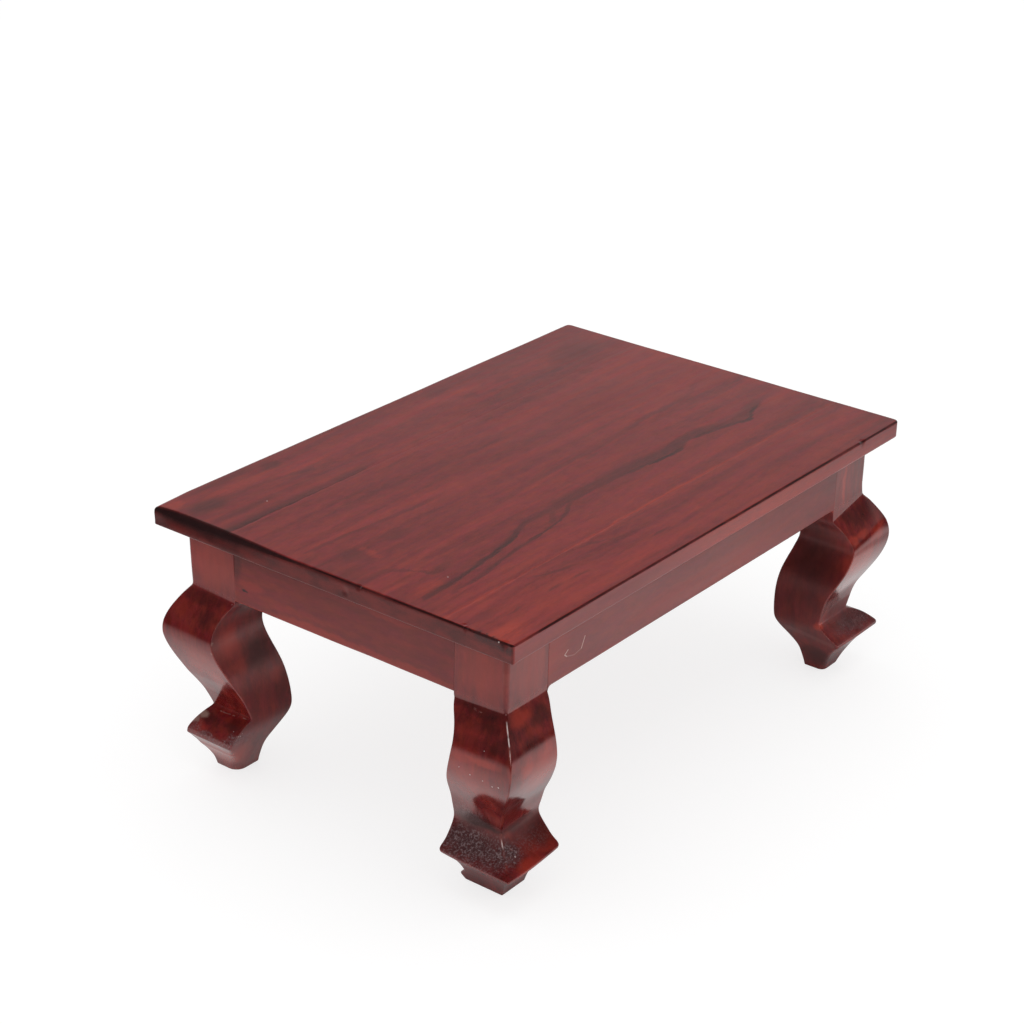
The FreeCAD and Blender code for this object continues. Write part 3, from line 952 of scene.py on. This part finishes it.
# With those of the front side: centre, reach and strength
top_dark_patches = on_face(dark_face_patches) + [
    ((-135, -150.5, 189), (120, 6, 12), 0.42), ((176, -150.5, 198), (5, 3, 4), 0.60),
]
top_bright_patches = on_face(bright_face_patches) + on_face(bright_edge_patches, 6) + [
    ((90, -150.5, 191), (190, 8, 12), 0.34), ((15, -150.5, 191), (130, 8, 12), 0.34),
]

# Dried lacquer along the left upper arris near the front corner, in millimetres
arris_gum = [(-229.5, -124, 197.5), (-230, -138, 196.5), (-230, -148, 194.5)]
gum_nibs = [((-228.9, -139.5, 198.0), 0.7), ((-229.3, -144.0, 197.5), 0.8), ((-229.2, -147.2, 197.0), 0.6),
            ((-183.0, -63.2, 199.0), 0.45), ((-174.0, 99.5, 199.0), 0.5)]

# The left end along its width, in millimetres: how black it is, and how far in the black reaches
end_blackness = [(-150, 0.10), (-120, 0.20), (-80, 0.0), (0, 0.02), (30, 0.12), (55, 0.38), (76, 0.82),
                 (95, 1.0), (136, 0.95), (143, 0.7), (150, 0.2)]
black_edge = [(-20, -230.5), (20, -228.2), (50, -226.2), (76, -224.7), (95, -223.9), (136, -224.8),
              (150, -229)]

satin_roughness = (0.285, 0.36)


def top_finish():
    finish = Finish("red_lacquered_boards")
    grain = grain_along(finish, "x")
    tones = ((0.120, 0.0115, 0.0115), (0.190, 0.0175, 0.0165), (0.265, 0.0240, 0.0195))
    colour, fine, medium = red_stain(finish, grain, tones)
    ragged = finish.strayed(grain, (9, 4.5, 0), (12, 2.6, 8))
    x, y, z = finish.split(ragged)
    dark = finish.lines(x, y, top_dark_lines, finish.patches(ragged, top_dark_patches))
    bright = finish.lines(x, y, top_bright_lines, finish.patches(ragged, top_bright_patches))
    streaks = finish.scaled_sum(fine, 0.5, finish.product(medium, 0.5))
    streaky = finish.between(streaks, 0.38, 0.58, 0.55, 1.0)
    colour = finish.tint(finish.product(bright, streaky), colour, raw_red)
    colour = finish.tint(finish.product(dark, streaky, 0.95), colour, figure_brown)
    colour = end_grain(finish, colour, y, z)
    colour = rubbed_arris(finish, colour)
    where = finish.place()
    stipple = finish.between(finish.noise(where, 0.9), 0.4, 0.6, 0.45, 1.0)
    gum = finish.product(finish.scratch(ragged, arris_gum, 9.0), stipple)
    colour = finish.tint(gum, colour, gum_brown)
    colour = with_nibs(finish, colour, where, gum_nibs)
    rough = finish.between(medium, 0.3, 0.7, *satin_roughness)
    return varnished(finish, colour, fine, medium, rough, 0.006 * mm)


def with_nibs(finish, colour, where, nibs):
    """Small pale nibs in the lacquer, each with its size."""
    pale = 0.0
    for place, size in nibs:
        pale = finish.most(pale, finish.patch(where, place, (size * 1.3,) * 3, 1.0))
    return finish.tint(pale, colour, pale_nib)


def end_grain(finish, colour, y, z):
    """The sawn ends drink more stain, and the left end is nearly black towards the back."""
    across = finish.split(finish.facing())[0]
    at_end = finish.between(finish.math("ABSOLUTE", across), 0.45, 0.85)
    where = finish.place()
    stipple = finish.noise(where, (3, 1.1, 0.8), detail=3.0, rough=0.65)
    lumps = finish.noise(where, (40, 16, 6))
    depth = finish.scaled_sum(lumps, 0.6, finish.product(stipple, 0.4))
    brown = finish.tint(finish.between(depth, 0.34, 0.64), (0.062, 0.0105, 0.0105), (0.138, 0.0160, 0.0140))
    blackness = finish.drawn(y, [(place * mm, black) for place, black in end_blackness])
    level = finish.between(z, table_top - 9 * mm, table_top - 3.5 * mm, 0.16, 1.0)
    left = finish.between(across, -0.5, -0.1, 1.0, 0.0)
    soaked = finish.between(stipple, 0.36, 0.62)
    soaked = finish.tint(soaked, (0.013, 0.0045, 0.0050), (0.040, 0.0115, 0.0125))
    brown = finish.tint(finish.product(blackness, level, left), brown, soaked)
    return finish.tint(at_end, colour, brown)


def rubbed_arris(finish, colour):
    """Stain gathered along the upper arris of the front, and soaked in black along the left end."""
    nx, ny, nz = finish.split(finish.facing())
    where = finish.place()
    x, y, _ = finish.split(where)
    upwards = finish.between(nz, 0.1, 0.3)
    rolled = finish.product(finish.between(finish.wear(), 0.44, 0.68), upwards)
    along_front = finish.product(finish.between(ny, -0.35, -0.1, 1.0, 0.0),
                                 finish.between(x, -226 * mm, -196 * mm, 0.35, 1.0))
    outwards = finish.most(finish.between(nx, -0.35, -0.1, 1.0, 0.0), along_front)
    uneven = finish.between(finish.noise(where, 26), 0.3, 0.6, 0.6, 1.0)
    colour = finish.tint(finish.product(rolled, outwards, uneven), colour, arris_crimson)
    soaked_from = finish.drawn(y, [(place * mm, edge * mm) for place, edge in black_edge])
    inside = finish.between(finish.math("SUBTRACT", x, soaked_from), -0.6 * mm, 0.8 * mm, 1.0, 0.0)
    return finish.tint(finish.product(inside, upwards, 0.85), colour, soaked_black)


# Rails. Soft patches of the left rail and its posts, in millimetres: place across and up, reach across
# and up, strength
left_rail_dark = [
    (92, 168, 7, 14, 0.55), (84, 176, 16, 8, 0.30), (60, 176, 40, 7, 0.20), (10, 166, 80, 12, 0.12),
    (-112, 167, 6, 8, 0.25), (-92, 172, 12, 14, 0.26), (-72, 160, 24, 18, 0.20), (130, 184, 60, 8, 0.45),
]
left_rail_bright = [
    (78, 157, 16, 5, 0.30), (20, 144, 60, 4.5, 0.40), (-55, 144, 60, 4, 0.35), (40, 152, 60, 4, 0.12),
    (-40, 174, 40, 3, 0.25), (40, 168, 80, 12, 0.10),
]
# These bright patches on the posts are partly the stain's own tone and partly painted light standing in for
# sheen
left_post_bright = [
    (114, 163, 26, 26, 0.45), (-116, 164, 24, 26, 0.25),
]
# Those of the front rail and its posts: place along and up, reach along, in and up, strength
front_rail_dark = [
    (-163, 152, 7, 20, 7, 0.10), (-176, 180, 6, 20, 8, 0.12), (165, 165, 16, 20, 14, 0.22),
    (204, 158, 12, 20, 14, 0.2), (60, 181, 160, 20, 5, 0.06),
]
# The bright patch on the front left post's front face is partly painted light standing in for sheen
front_rail_bright = [
    (0, 152, 120, 20, 12, 0.22), (90, 162, 110, 20, 20, 0.16), (183, 160, 3, 20, 20, 0.65),
    (-176, 165, 34, 8, 28, 0.36), (60, 145, 120, 20, 5, 0.15),
]
rail_pits = [
    ((-213, 100, 174.5), (3, 1.6, 1.4), 0.95), ((-213, 84.7, 152.3), (3, 2.6, 1.5), 1.0),
    ((-213, 82.2, 152.0), (3, 1.6, 1.1), 0.8),
]

# A hooked scratch near the front rail's left post, in millimetres along and up: its two clear strokes
# and the faint one between
scratch_strokes = [
    ([(-137.2, 155.0), (-144.5, 153.3), (-152.6, 155.4)], 0.27),
    ([(-133.7, 162.4), (-135.3, 159.0), (-137.2, 155.0)], 1.0),
    ([(-151.4, 159.6), (-154.8, 157.2), (-152.6, 155.4)], 1.0),
]


def on_left_rail(listed, depth=20):
    return [((-213, y, z), (depth, across, up), strength) for y, z, across, up, strength in listed]


def on_front_rail(listed):
    return [((x, -134.7, z), (along, into, up), strength) for x, z, along, into, up, strength in listed]


rail_dark_patches = on_left_rail(left_rail_dark) + on_front_rail(front_rail_dark)
rail_bright_patches = (on_left_rail(left_rail_bright) + on_left_rail(left_post_bright, 8)
                       + on_front_rail(front_rail_bright))


def rail_finish(axis):
    finish = Finish("red_lacquered_rail_" + axis)
    grain = grain_along(finish, axis)
    tones = ((0.105, 0.0110, 0.0110), (0.150, 0.0150, 0.0140), (0.200, 0.0195, 0.0165))
    colour, fine, medium = red_stain(finish, grain, tones, 0.26)
    colour = marked(finish, colour, rail_dark_patches, rail_bright_patches)
    where = finish.place()
    colour = finish.tint(finish.patches(where, rail_pits), colour, pit_black)
    uneven = finish.between(medium, 0.4, 0.6, 0.1, 0.6)
    rubbed = finish.product(finish.between(finish.wear(), 0.3, 0.8), uneven)
    colour = finish.tint(rubbed, colour, raw_red)
    if axis == "x":
        drawn = 0.0
        for points, strength in scratch_strokes:
            stroke = finish.scratch(where, [(x, -134.7, z) for x, z in points], 1.0)
            drawn = finish.most(finish.product(stroke, strength), drawn)
        colour = finish.tint(drawn, colour, scratch_grey)
    rough = finish.between(medium, 0.3, 0.7, *satin_roughness)
    return varnished(finish, colour, fine, medium, rough, 0.010 * mm)


def marked(finish, colour, dark_patches, bright_patches):
    """Lay the dark and the bright patches of a list over a colour: partly the stain's own tone, partly
    painted shade and painted light.
    """
    ragged = finish.strayed(finish.place(), 7, 12)
    colour = finish.tint(finish.patches(ragged, bright_patches), colour, raw_red)
    return finish.tint(finish.product(finish.patches(ragged, dark_patches), 0.9), colour, stain_and_shade_brown)


# What shows on each leg, in millimetres. Patches: dark, bright, dusty, matt, bare, and glints. The dark and
# bright patches are partly the stain's own tone and partly painted shade and painted light: shade on faces
# turned under the table, light and sheen on the lower bands and the posts. The glints are a painted
# highlight along the outer
# arris. Pale lines: points, width, strength. White nibs in the lacquer: place, size.
leg_marks = {
    "front_left": {
        "dark": [((-215, -116, 137), (14, 40, 5), 0.55), ((-223, -139, 121), (10, 12, 9), 0.45),
                 ((-222, -120, 118), (12, 34, 6), 0.35), ((-216, -124, 131), (10, 9, 8), 0.25),
                 ((-186, -142, 131), (14, 14, 9), 0.65), ((-200, -149, 118), (26, 10, 6), 0.50),
                 ((-213, -148, 112), (6, 6, 7), 0.30), ((-208, -112, 54), (14, 26, 8), 0.55),
                 ((-210, -128, 50), (10, 12, 4), 0.40), ((-212, -112, 40), (22, 30, 13), 0.55),
                 ((-180, -139, 42), (22, 18, 9), 0.60), ((-200, -136, 52), (8, 10, 12), 0.35),
                 ((-203, -111, 8), (22, 22, 12), 0.25), ((-205, -130, 128), (30, 30, 6), 0.15),
                 ((-210, -106, 52), (16, 28, 7), 0.70), ((-188, -131, 50), (26, 16, 6), 0.65),
                 ((-219, -122, 128), (14, 36, 11), 0.32), ((-188, -136, 68), (24, 14, 12), 0.45)],
        "bright": [((-203, -138, 135), (16, 12, 7), 0.60), ((-198, -146, 127), (12, 8, 6), 0.35),
                   ((-222, -112, 124), (14, 16, 7), 0.20), ((-226, -128, 109), (10, 16, 4), 0.45),
                   ((-226, -112, 107), (12, 12, 5), 0.30), ((-209, -149, 105), (9, 10, 9), 0.50),
                   ((-204, -148, 31), (16, 8, 7), 0.60), ((-184, -140, 38), (26, 16, 9), 0.35),
                   ((-220, -132, 28), (10, 22, 6), 0.45), ((-216, -127, 74), (10, 10, 8), 0.30),
                   ((-204, -130, 48), (6, 6, 4), 0.35), ((-213, -116, 164), (8, 26, 28), 0.36),
                   ((-192, -134.7, 165), (26, 8, 28), 0.32), ((-190, -146, 96), (26, 14, 26), 0.60),
                   ((-224, -116, 88), (14, 30, 20), 0.22)],
        "dust": [((-216, -112, 37), (24, 44, 15), 1.0), ((-208, -137, 38), (12, 10, 8), 0.6),
                 ((-190, -138, 40), (24, 14, 8), 0.30), ((-211, -102, 58), (12, 24, 10), 0.45)],
        "matt": [((-196, -124, 48), (40, 40, 9), 1.4)],
        "lines": [([(-214.2, -101, 138.0), (-214.3, -109, 137.2), (-214.8, -117, 136.2)], 1.2, 0.5),
                  ([(-214.6, -105, 136.6), (-215.0, -114, 135.4)], 0.9, 0.35),
                  ([(-206.2, -133.0, 43.0), (-205.6, -136.6, 38.6), (-205.8, -140.5, 36.0)], 1.1, 0.7)],
        "nibs": [((-224.9, -139.0, 95.4), 0.55), ((-224.6, -133.9, 93.9), 0.5),
                 ((-224.9, -126.7, 95.5), 0.4), ((-225.1, -116.9, 96.3), 0.45),
                 ((-225.5, -108.5, 98.9), 0.35), ((-224.5, -127.0, 116.6), 0.35),
                 ((-214.0, -106.0, 138.6), 0.5), ((-219.6, -131.0, 131.5), 0.4),
                 ((-218.6, -136.4, 133.0), 0.4), ((-206.9, -139.7, 36.7), 0.6),
                 ((-209.6, -139.0, 35.0), 0.5), ((-212.5, -137.5, 37.0), 0.5),
                 ((-208.0, -137.0, 40.0), 0.45), ((-210.8, -134.2, 39.0), 0.5),
                 ((-205.5, -133.8, 62.0), 0.4)],
        "glints": [((-217.0, -139.5, 134), (5, 5, 7), 1.3), ((-220.5, -144.0, 127.5), (5, 5, 4.5), 1.4),
                   ((-223.0, -147.0, 121), (4, 4, 5), 0.40), ((-208.5, -131, 43), (5, 5, 4), 0.9)],
    },
    "front_right": {
        "dark": [((176, -120, 95), (14, 30, 50), 0.75), ((183, -125, 14), (22, 18, 14), 0.75),
                 ((204, -140, 130), (26, 12, 11), 0.58), ((204, -138, 41), (30, 12, 8), 0.45),
                 ((186, -138, 132), (10, 9, 8), 0.35), ((172, -118, 60), (12, 30, 16), 0.25),
                 ((188, -132, 60), (22, 10, 14), 0.45), ((172, -112, 40), (12, 24, 12), 0.30)],
        "bright": [((184, -134.7, 158), (3, 20, 22), 0.70), ((215, -149, 112), (14, 8, 7), 0.40),
                   ((180, -148, 97), (9, 8, 20), 0.30), ((196, -148, 96), (26, 12, 20), 0.55),
                   ((176, -132, 58), (6, 8, 12), 0.40), ((171.5, -131, 46), (5, 5, 5), 1.0),
                   ((198, -147, 30), (30, 8, 4), 0.25), ((184, -147.5, 116), (6, 6, 6), 0.60),
                   ((196, -147.5, 118), (14, 6, 5), 0.60), ((216, -147.5, 117), (12, 6, 4), 0.35)],
        "dust": [((206, -140, 38), (34, 14, 8), 0.50)],
        "matt": [((200, -130, 52), (40, 14, 12), 1.4)],
        # This pale line is a painted highlight along the ridge of the toe's lip
        "lines": [([(172.3, -104, 35.4), (172.6, -124, 33.5), (174.8, -141, 31.0)], 7.0, 0.22)],
        "nibs": [((181.0, -140.0, 34.5), 0.6), ((183.0, -141.5, 33.0), 0.5)],
        "glints": [],
    },
    "back_left": {
        "dark": [((-216, 120, 137), (14, 32, 6), 0.45), ((-222, 111, 125), (8, 9, 10), 0.38),
                 ((-198, 100, 130), (16, 10, 9), 0.50), ((-190, 97, 92), (14, 10, 18), 0.75),
                 ((-208, 106, 59), (10, 14, 7), 0.45), ((-212, 97, 43), (14, 12, 7), 0.50),
                 ((-216, 112, 42), (14, 30, 6), 0.20), ((-219, 122, 128), (14, 30, 16), 0.25),
                 ((-172, 92, 50), (8, 10, 22), 0.25), ((-220, 122, 116), (8, 26, 6), 0.35),
                 ((-214, 122, 44), (10, 12, 6), 0.35), ((-205, 94, 72), (8, 6, 8), 0.20)],
        "bright": [((-222, 134, 127), (10, 12, 9), 0.20), ((-217, 108, 78), (10, 9, 10), 0.30),
                   ((-211, 100, 108), (14, 9, 16), 0.65), ((-206, 98, 88), (9, 9, 10), 0.35),
                   ((-177, 92, 73), (9, 8, 9), 0.30), ((-222, 114, 92), (12, 24, 22), 0.35),
                   ((-209, 112, 18), (18, 30, 16), 0.70), ((-218, 126, 36), (9, 9, 6), 0.30),
                   ((-209, 106, 62), (7, 6, 9), 0.30), ((-213, 112, 163), (8, 28, 26), 0.45)],
        "dust": [((-220, 131, 38), (10, 10, 6), 0.55), ((-208, 96, 34), (12, 8, 8), 0.45),
                 ((-219, 112, 33), (12, 34, 4), 0.60), ((-216, 95, 37), (9, 8, 5), 0.7)],
        "bare": [((-212, 127, 43), (4, 6, 4), 1.1), ((-216, 131, 40), (4, 4, 3), 0.8),
                 ((-227.0, 102.0, 111.9), (2.2, 1.5, 2.2), 0.7),
                 ((-226.6, 102.6, 104.7), (2.2, 1.4, 2.0), 0.7)],
        "lines": [
                  ([(-205.9, 124, 46.8), (-205.4, 116, 46.6), (-205.2, 107, 46.6), (-203.6, 92, 48.2)],
                   1.1, 0.7)],
        "nibs": [((-213.9, 97.1, 139.3), 0.6), ((-213.0, 95.8, 138.0), 0.45), ((-210.9, 91.4, 40.1), 0.6),
                 ((-214.6, 91.7, 39.3), 0.6), ((-212.5, 92.0, 38.6), 0.5), ((-217.0, 99.5, 36.9), 0.55),
                 ((-216.0, 95.5, 38.4), 0.6), ((-214.0, 97.0, 41.0), 0.5), ((-212.6, 93.2, 43.5), 0.5)],
        "glints": [],
    },
    "back_right": {
        "dark": [((216, 120, 134), (14, 30, 7), 0.45), ((200, 140, 124), (22, 12, 9), 0.40),
                 ((176, 116, 80), (12, 24, 34), 0.50), ((205, 125, 40), (22, 22, 8), 0.50)],
        "bright": [((222, 126, 100), (12, 26, 18), 0.30), ((196, 147, 100), (24, 12, 16), 0.30),
                   ((200, 130, 24), (18, 18, 7), 0.30), ((212, 140, 128), (10, 10, 7), 0.35)],
        "dust": [((206, 130, 39), (26, 26, 8), 0.55)],
        "nibs": [((224.0, 118.0, 97.0), 0.7), ((190.0, 148.0, 104.0), 0.6)],
        "glints": [],
    },
}


def inner_faces(finish, side_x, side_y):
    """One on the two faces of a leg that look under the table, where the lacquer was rubbed dull."""
    nx, ny, _ = finish.split(finish.facing())
    inwards = finish.math("MINIMUM", finish.product(nx, side_x), finish.product(ny, side_y))
    return finish.between(inwards, -0.6, -0.35, 1.0, 0.0)


def on_outer_arris(finish):
    """One on the crown of a leg's upright arris, which faces both ways alike."""
    nx, ny, _ = finish.split(finish.facing())
    askew = finish.math("SUBTRACT", finish.math("ABSOLUTE", nx), finish.math("ABSOLUTE", ny))
    return finish.between(finish.math("ABSOLUTE", askew), 0.25, 0.6, 1.0, 0.0)


def leg_finish(corner):
    finish = Finish("red_lacquered_leg_" + corner)
    grain = grain_along(finish, "z")
    tones = ((0.066, 0.0056, 0.0058), (0.128, 0.0105, 0.0096), (0.205, 0.0180, 0.0140))
    colour, fine, medium = red_stain(finish, grain, tones, 0.30, (20, 0.9))
    marks = leg_marks[corner]
    colour = marked(finish, colour, marks["dark"], marks["bright"])
    where = finish.place()
    specks = finish.noise(where, 1.3, detail=3.0, rough=0.75)
    wandering = finish.strayed(where, 9, 10)
    smears = finish.between(finish.noise(where, (9, 5, 5), detail=3.0, rough=0.6), 0.36, 0.56, 0.6, 1.0)
    dusty = finish.product(finish.patches(wandering, marks["dust"]), smears)
    colour = finish.tint(finish.product(dusty, 0.75), colour, dust_film)
    colour = finish.tint(finish.product(dusty, finish.between(specks, 0.46, 0.66)), colour, dust_speck)
    uneven = finish.between(finish.noise(where, 9, detail=3.0), 0.45, 0.65, 0.0, 0.25)
    rubbed = finish.product(finish.between(finish.wear(), 0.7, 1.0), uneven)
    colour = finish.tint(rubbed, colour, worn_edge)
    # Painted highlight: a pale glint along the crown of the outer arris, broken by specks
    glints = finish.product(finish.patches(where, marks["glints"]), on_outer_arris(finish))
    broken = finish.between(specks, 0.36, 0.52, 0.6, 1.0)
    colour = finish.tint(finish.product(glints, broken), colour, painted_glint_pink)
    colour = with_nibs(finish, colour, where, marks["nibs"])
    ragged = finish.strayed(where, 3, 3)
    colour = finish.tint(finish.patches(ragged, marks.get("bare", [])), colour, bare_wood)
    # The front right leg's pale line is a painted highlight along its toe's lip
    for points, width, strength in marks.get("lines", []):
        stroke = finish.product(finish.scratch(ragged, points, width), strength)
        colour = finish.tint(stroke, colour, pale_line)
    on_post = finish.between(finish.split(where)[2], rail_bottom - 3 * mm, rail_bottom + 4 * mm)
    dull = finish.most(on_post, inner_faces(finish, *leg_corners[corner]))
    gloss = finish.scaled_sum(dull, 0.16, finish.between(medium, 0.3, 0.7, 0.13, 0.2))
    matt = finish.math("MINIMUM", finish.patches(where, marks.get("matt", [])), 1.0)
    rough = finish.scaled_sum(dusty, 0.25, finish.scaled_sum(matt, 0.36, gloss))
    return varnished(finish, colour, fine, medium, rough, 0.010 * mm, gloss=0.85)


def block_finish():
    finish = Finish("sawn_block_wood")
    grain = grain_along(finish, "x")
    tones = ((0.170, 0.080, 0.034), (0.264, 0.133, 0.055), (0.340, 0.185, 0.085))
    colour, fine, medium = red_stain(finish, grain, tones)
    rough = finish.between(medium, 0.3, 0.7, 0.5, 0.65)
    return varnished(finish, colour, fine, medium, rough, 0.05 * mm)


def screw_finish():
    finish = Finish("dulled_screw_steel")
    where = finish.place()
    tarnish = finish.noise(where, 1.2, detail=4.0)
    colour = finish.tint(finish.between(tarnish, 0.4, 0.65), (0.36, 0.34, 0.31), (0.12, 0.085, 0.06))
    rough = finish.between(tarnish, 0.35, 0.7, 0.32, 0.6)
    shader = finish.add("BsdfPrincipled", {"Base Color": colour, "Roughness": rough, "Metallic": 1.0})
    finish.add("OutputMaterial", {"Surface": shader.outputs[0]})
    return finish.made


# Stage, light and camera

# The fitted camera, the lamp, and the directions of what the lacquer mirrors
camera_place = Vector((-1.20989, -0.89603, 0.85949))
camera_gaze = Vector((0.72072, 0.55019, -0.42173))
camera_roll = math.radians(1.47)
camera_lens = 83.29
camera_film_width = 36.0
lamp_power = 5.0
lamp_size = 1.4
lamp_place = (-0.1, -0.1, 1.6)
far_side = (0.795, 0.607)
window_side = (-0.587, -0.757, 0.287)

# How bright the surround is in the lacquer, from the horizon up to overhead
mirrored_sky = [(0, 1.0), (0.2, 0.80), (0.375, 0.42), (0.485, 0.18), (0.7, 0.05), (1, 0.04)]

# How bright the floor is painted in the lacquer's reflection, in metres along the table: left of it and in
# front of it
mirrored_left = [(-0.6, 0.76), (-0.5, 0.72), (-0.44, 0.62), (-0.36, 0.60), (-0.30, 0.64)]
mirrored_front = [(-0.4, 0.65), (0.0, 0.80), (0.2, 0.85), (0.3, 0.75), (0.5, 0.65)]

# Painted brighter and darker places of that floor's reflection, in millimetres, and where a foot stands, in
# metres
painted_floor_reflection_patches = [
    ((-270, -60, 0), (130, 130, 50), 0.20), ((420, -270, 0), (90, 90, 50), -0.40),
    ((245, -165, 0), (70, 60, 50), -0.45),
]
foot_place = (0.196, 0.12, 0.0)
floor_reach = 12.0


def white_world():
    finish = Finish("white_studio", world=True)
    x, y, z = finish.split(finish.add("TexCoord").outputs["Generated"])
    rays = finish.add("LightPath").outputs
    along = finish.scaled_sum(x, far_side[0], finish.product(y, far_side[1]))
    ahead = finish.between(along, -0.1, 0.8, 0.03, 1.0)
    cover = finish.product(ahead, finish.drawn(z, mirrored_sky))
    facing = finish.add("VectorMath", {0: finish.join(x, y, z), 1: window_side}, operation="DOT_PRODUCT")
    window = finish.between(facing.outputs["Value"], 0.982, 0.99, 0.0, 6.0)
    seen = finish.math("ADD", rays["Is Camera Ray"], rays["Is Transmission Ray"])
    seen = finish.scaled_sum(rays["Is Glossy Ray"], cover, seen)
    seen = finish.math("MINIMUM", seen, 1.0)
    tent = finish.between(z, 0.0, 1.0, 1.12, 0.68)
    glossy = rays["Is Glossy Ray"]
    ambient = finish.add("MapRange", {"Value": glossy, "To Min": tent, "To Max": 0.03}).outputs[0]
    strength = finish.add("MapRange", {"Value": seen, "To Min": ambient, "To Max": 1.0}).outputs[0]
    strength = finish.scaled_sum(rays["Is Glossy Ray"], window, strength)
    shader = finish.add("Background", {"Color": (1, 1, 1, 1), "Strength": strength})
    finish.add("OutputWorld", {"Surface": shader.outputs[0]})
    finish.made.cycles.sampling_method = "NONE"
    bpy.context.scene.world = finish.made


def mirrored_floor(finish):
    """What the lacquer mirrors of the floor: a white sheet round the table, with painted shadow under the
    table and beside each foot, and painted brighter and darker places.
    """
    where = finish.place()
    x, y, _ = finish.split(where)
    local = finish.add("Mapping", {"Vector": where, "Location": (-0.13, 0.13, 0), "Scale": (1.33, 1.33, 0)})
    length = finish.add("VectorMath", {0: local.outputs[0]}, operation="LENGTH").outputs["Value"]
    sheet = finish.between(length, 0.70, 1.2, 1.0, 0.0)
    left = finish.drawn(x, mirrored_left)
    front = finish.product(finish.between(y, -0.30, -0.18, 1.0, 0.0), finish.drawn(x, mirrored_front))
    lit = finish.math("ADD", finish.most(left, front), finish.patches(where, painted_floor_reflection_patches))
    # Painted shadow: the floor's reflection is dark under the table
    under = finish.product(finish.between(finish.math("ABSOLUTE", x), 0.12, 0.24, 1.0, 0.0),
                           finish.between(finish.math("ABSOLUTE", y), 0.04, 0.155, 1.0, 0.0))
    folded = finish.add("VectorMath", {0: where}, operation="ABSOLUTE").outputs[0]
    from_foot = finish.add("VectorMath", {0: folded, 1: foot_place}, operation="DISTANCE").outputs["Value"]
    # Painted contact shadow: the floor's reflection darkens beside each foot, more at the front feet
    painted_contact_shadow = finish.product(finish.between(from_foot, 0.022, 0.065, 1.0, 0.0),
                                 finish.between(y, -0.10, 0.10, 0.85, 0.25))
    outside_painted_shadows = finish.product(finish.math("SUBTRACT", 1.0, under),
                                finish.math("SUBTRACT", 1.0, painted_contact_shadow))
    return finish.product(lit, outside_painted_shadows, sheet), sheet


def white_floor():
    mesh = bpy.data.meshes.new("studio_floor")
    corners = [(x * floor_reach, y * floor_reach, 0) for x, y in ((-1, -1), (1, -1), (1, 1), (-1, 1))]
    mesh.from_pydata(corners, [], [(0, 1, 2, 3)])
    floor = bpy.data.objects.new("studio_floor", mesh)
    bpy.context.scene.collection.objects.link(floor)
    finish = Finish("white_floor_paper")
    rays = finish.add("LightPath").outputs
    straight = finish.most(rays["Is Camera Ray"], rays["Is Transmission Ray"])
    mirrored, sheet = mirrored_floor(finish)
    # For glossy rays the floor glows with mirrored_floor's painted reflection and painted shadow, and
    # outside the sheet it is dark; for camera and transmission rays it glows evenly
    glow = finish.scaled_sum(rays["Is Glossy Ray"], mirrored, finish.product(straight, 0.75))
    paper = finish.tint(straight, (0.88, 0.88, 0.88), (0.31, 0.31, 0.31))
    mirrored_paper = finish.tint(sheet, (0.03, 0.03, 0.03), (0.45, 0.45, 0.45))
    paper = finish.tint(rays["Is Glossy Ray"], paper, mirrored_paper)
    shader = finish.add("BsdfPrincipled", {"Base Color": paper, "Roughness": 0.9, "Specular IOR Level": 0.0,
                                           "Emission Color": (1, 1, 1, 1), "Emission Strength": glow})
    finish.add("OutputMaterial", {"Surface": shader.outputs[0]})
    finish.made.cycles.emission_sampling = "NONE"
    mesh.materials.append(finish.made)


def overhead_lamp():
    lamp = bpy.data.lights.new("overhead_softbox", "AREA")
    lamp.shape = "RECTANGLE"
    lamp.size = lamp_size
    lamp.size_y = lamp_size
    lamp.energy = lamp_power
    holder = bpy.data.objects.new("overhead_softbox", lamp)
    holder.location = lamp_place
    holder.visible_glossy = False
    bpy.context.scene.collection.objects.link(holder)


def photograph_camera():
    camera = bpy.data.cameras.new("photograph_camera")
    camera.lens = camera_lens
    camera.sensor_width = camera_film_width
    holder = bpy.data.objects.new("photograph_camera", camera)
    holder.location = camera_place
    holder.rotation_mode = "QUATERNION"
    holder.rotation_quaternion = camera_gaze.to_track_quat("-Z", "Y") @ Quaternion((0, 0, 1), camera_roll)
    bpy.context.scene.collection.objects.link(holder)
    bpy.context.scene.camera = holder


# The table

def dress(piece, material):
    piece.data.materials.append(material)


def redress(node, material):
    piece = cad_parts[node]
    for index in range(len(piece.material_slots)):
        piece.material_slots[index].link = "OBJECT"
        piece.material_slots[index].material = material


def build_table():
    boards = top_finish()
    for node in ("top_board_front", "top_board_middle", "top_board_back"):
        dress(top_board(node), boards)
    long_rails = rail_finish("x")
    cross_rails = rail_finish("y")
    for seed, node in enumerate(rail_places):
        turns = rail_places[node][2]
        dress(rail_piece(node, 20 + seed), cross_rails if turns % 2 else long_rails)
    for corner, signs in leg_corners.items():
        dress(leg_piece(corner, signs), leg_finish(corner))
    wood = block_finish()
    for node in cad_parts:
        if node.startswith("glue_block"):
            redress(node, wood)
    redress("top_screws", screw_finish())


build_table()
white_world()
white_floor()
overhead_lamp()
photograph_camera()
bpy.context.scene.view_settings.view_transform = "Standard"
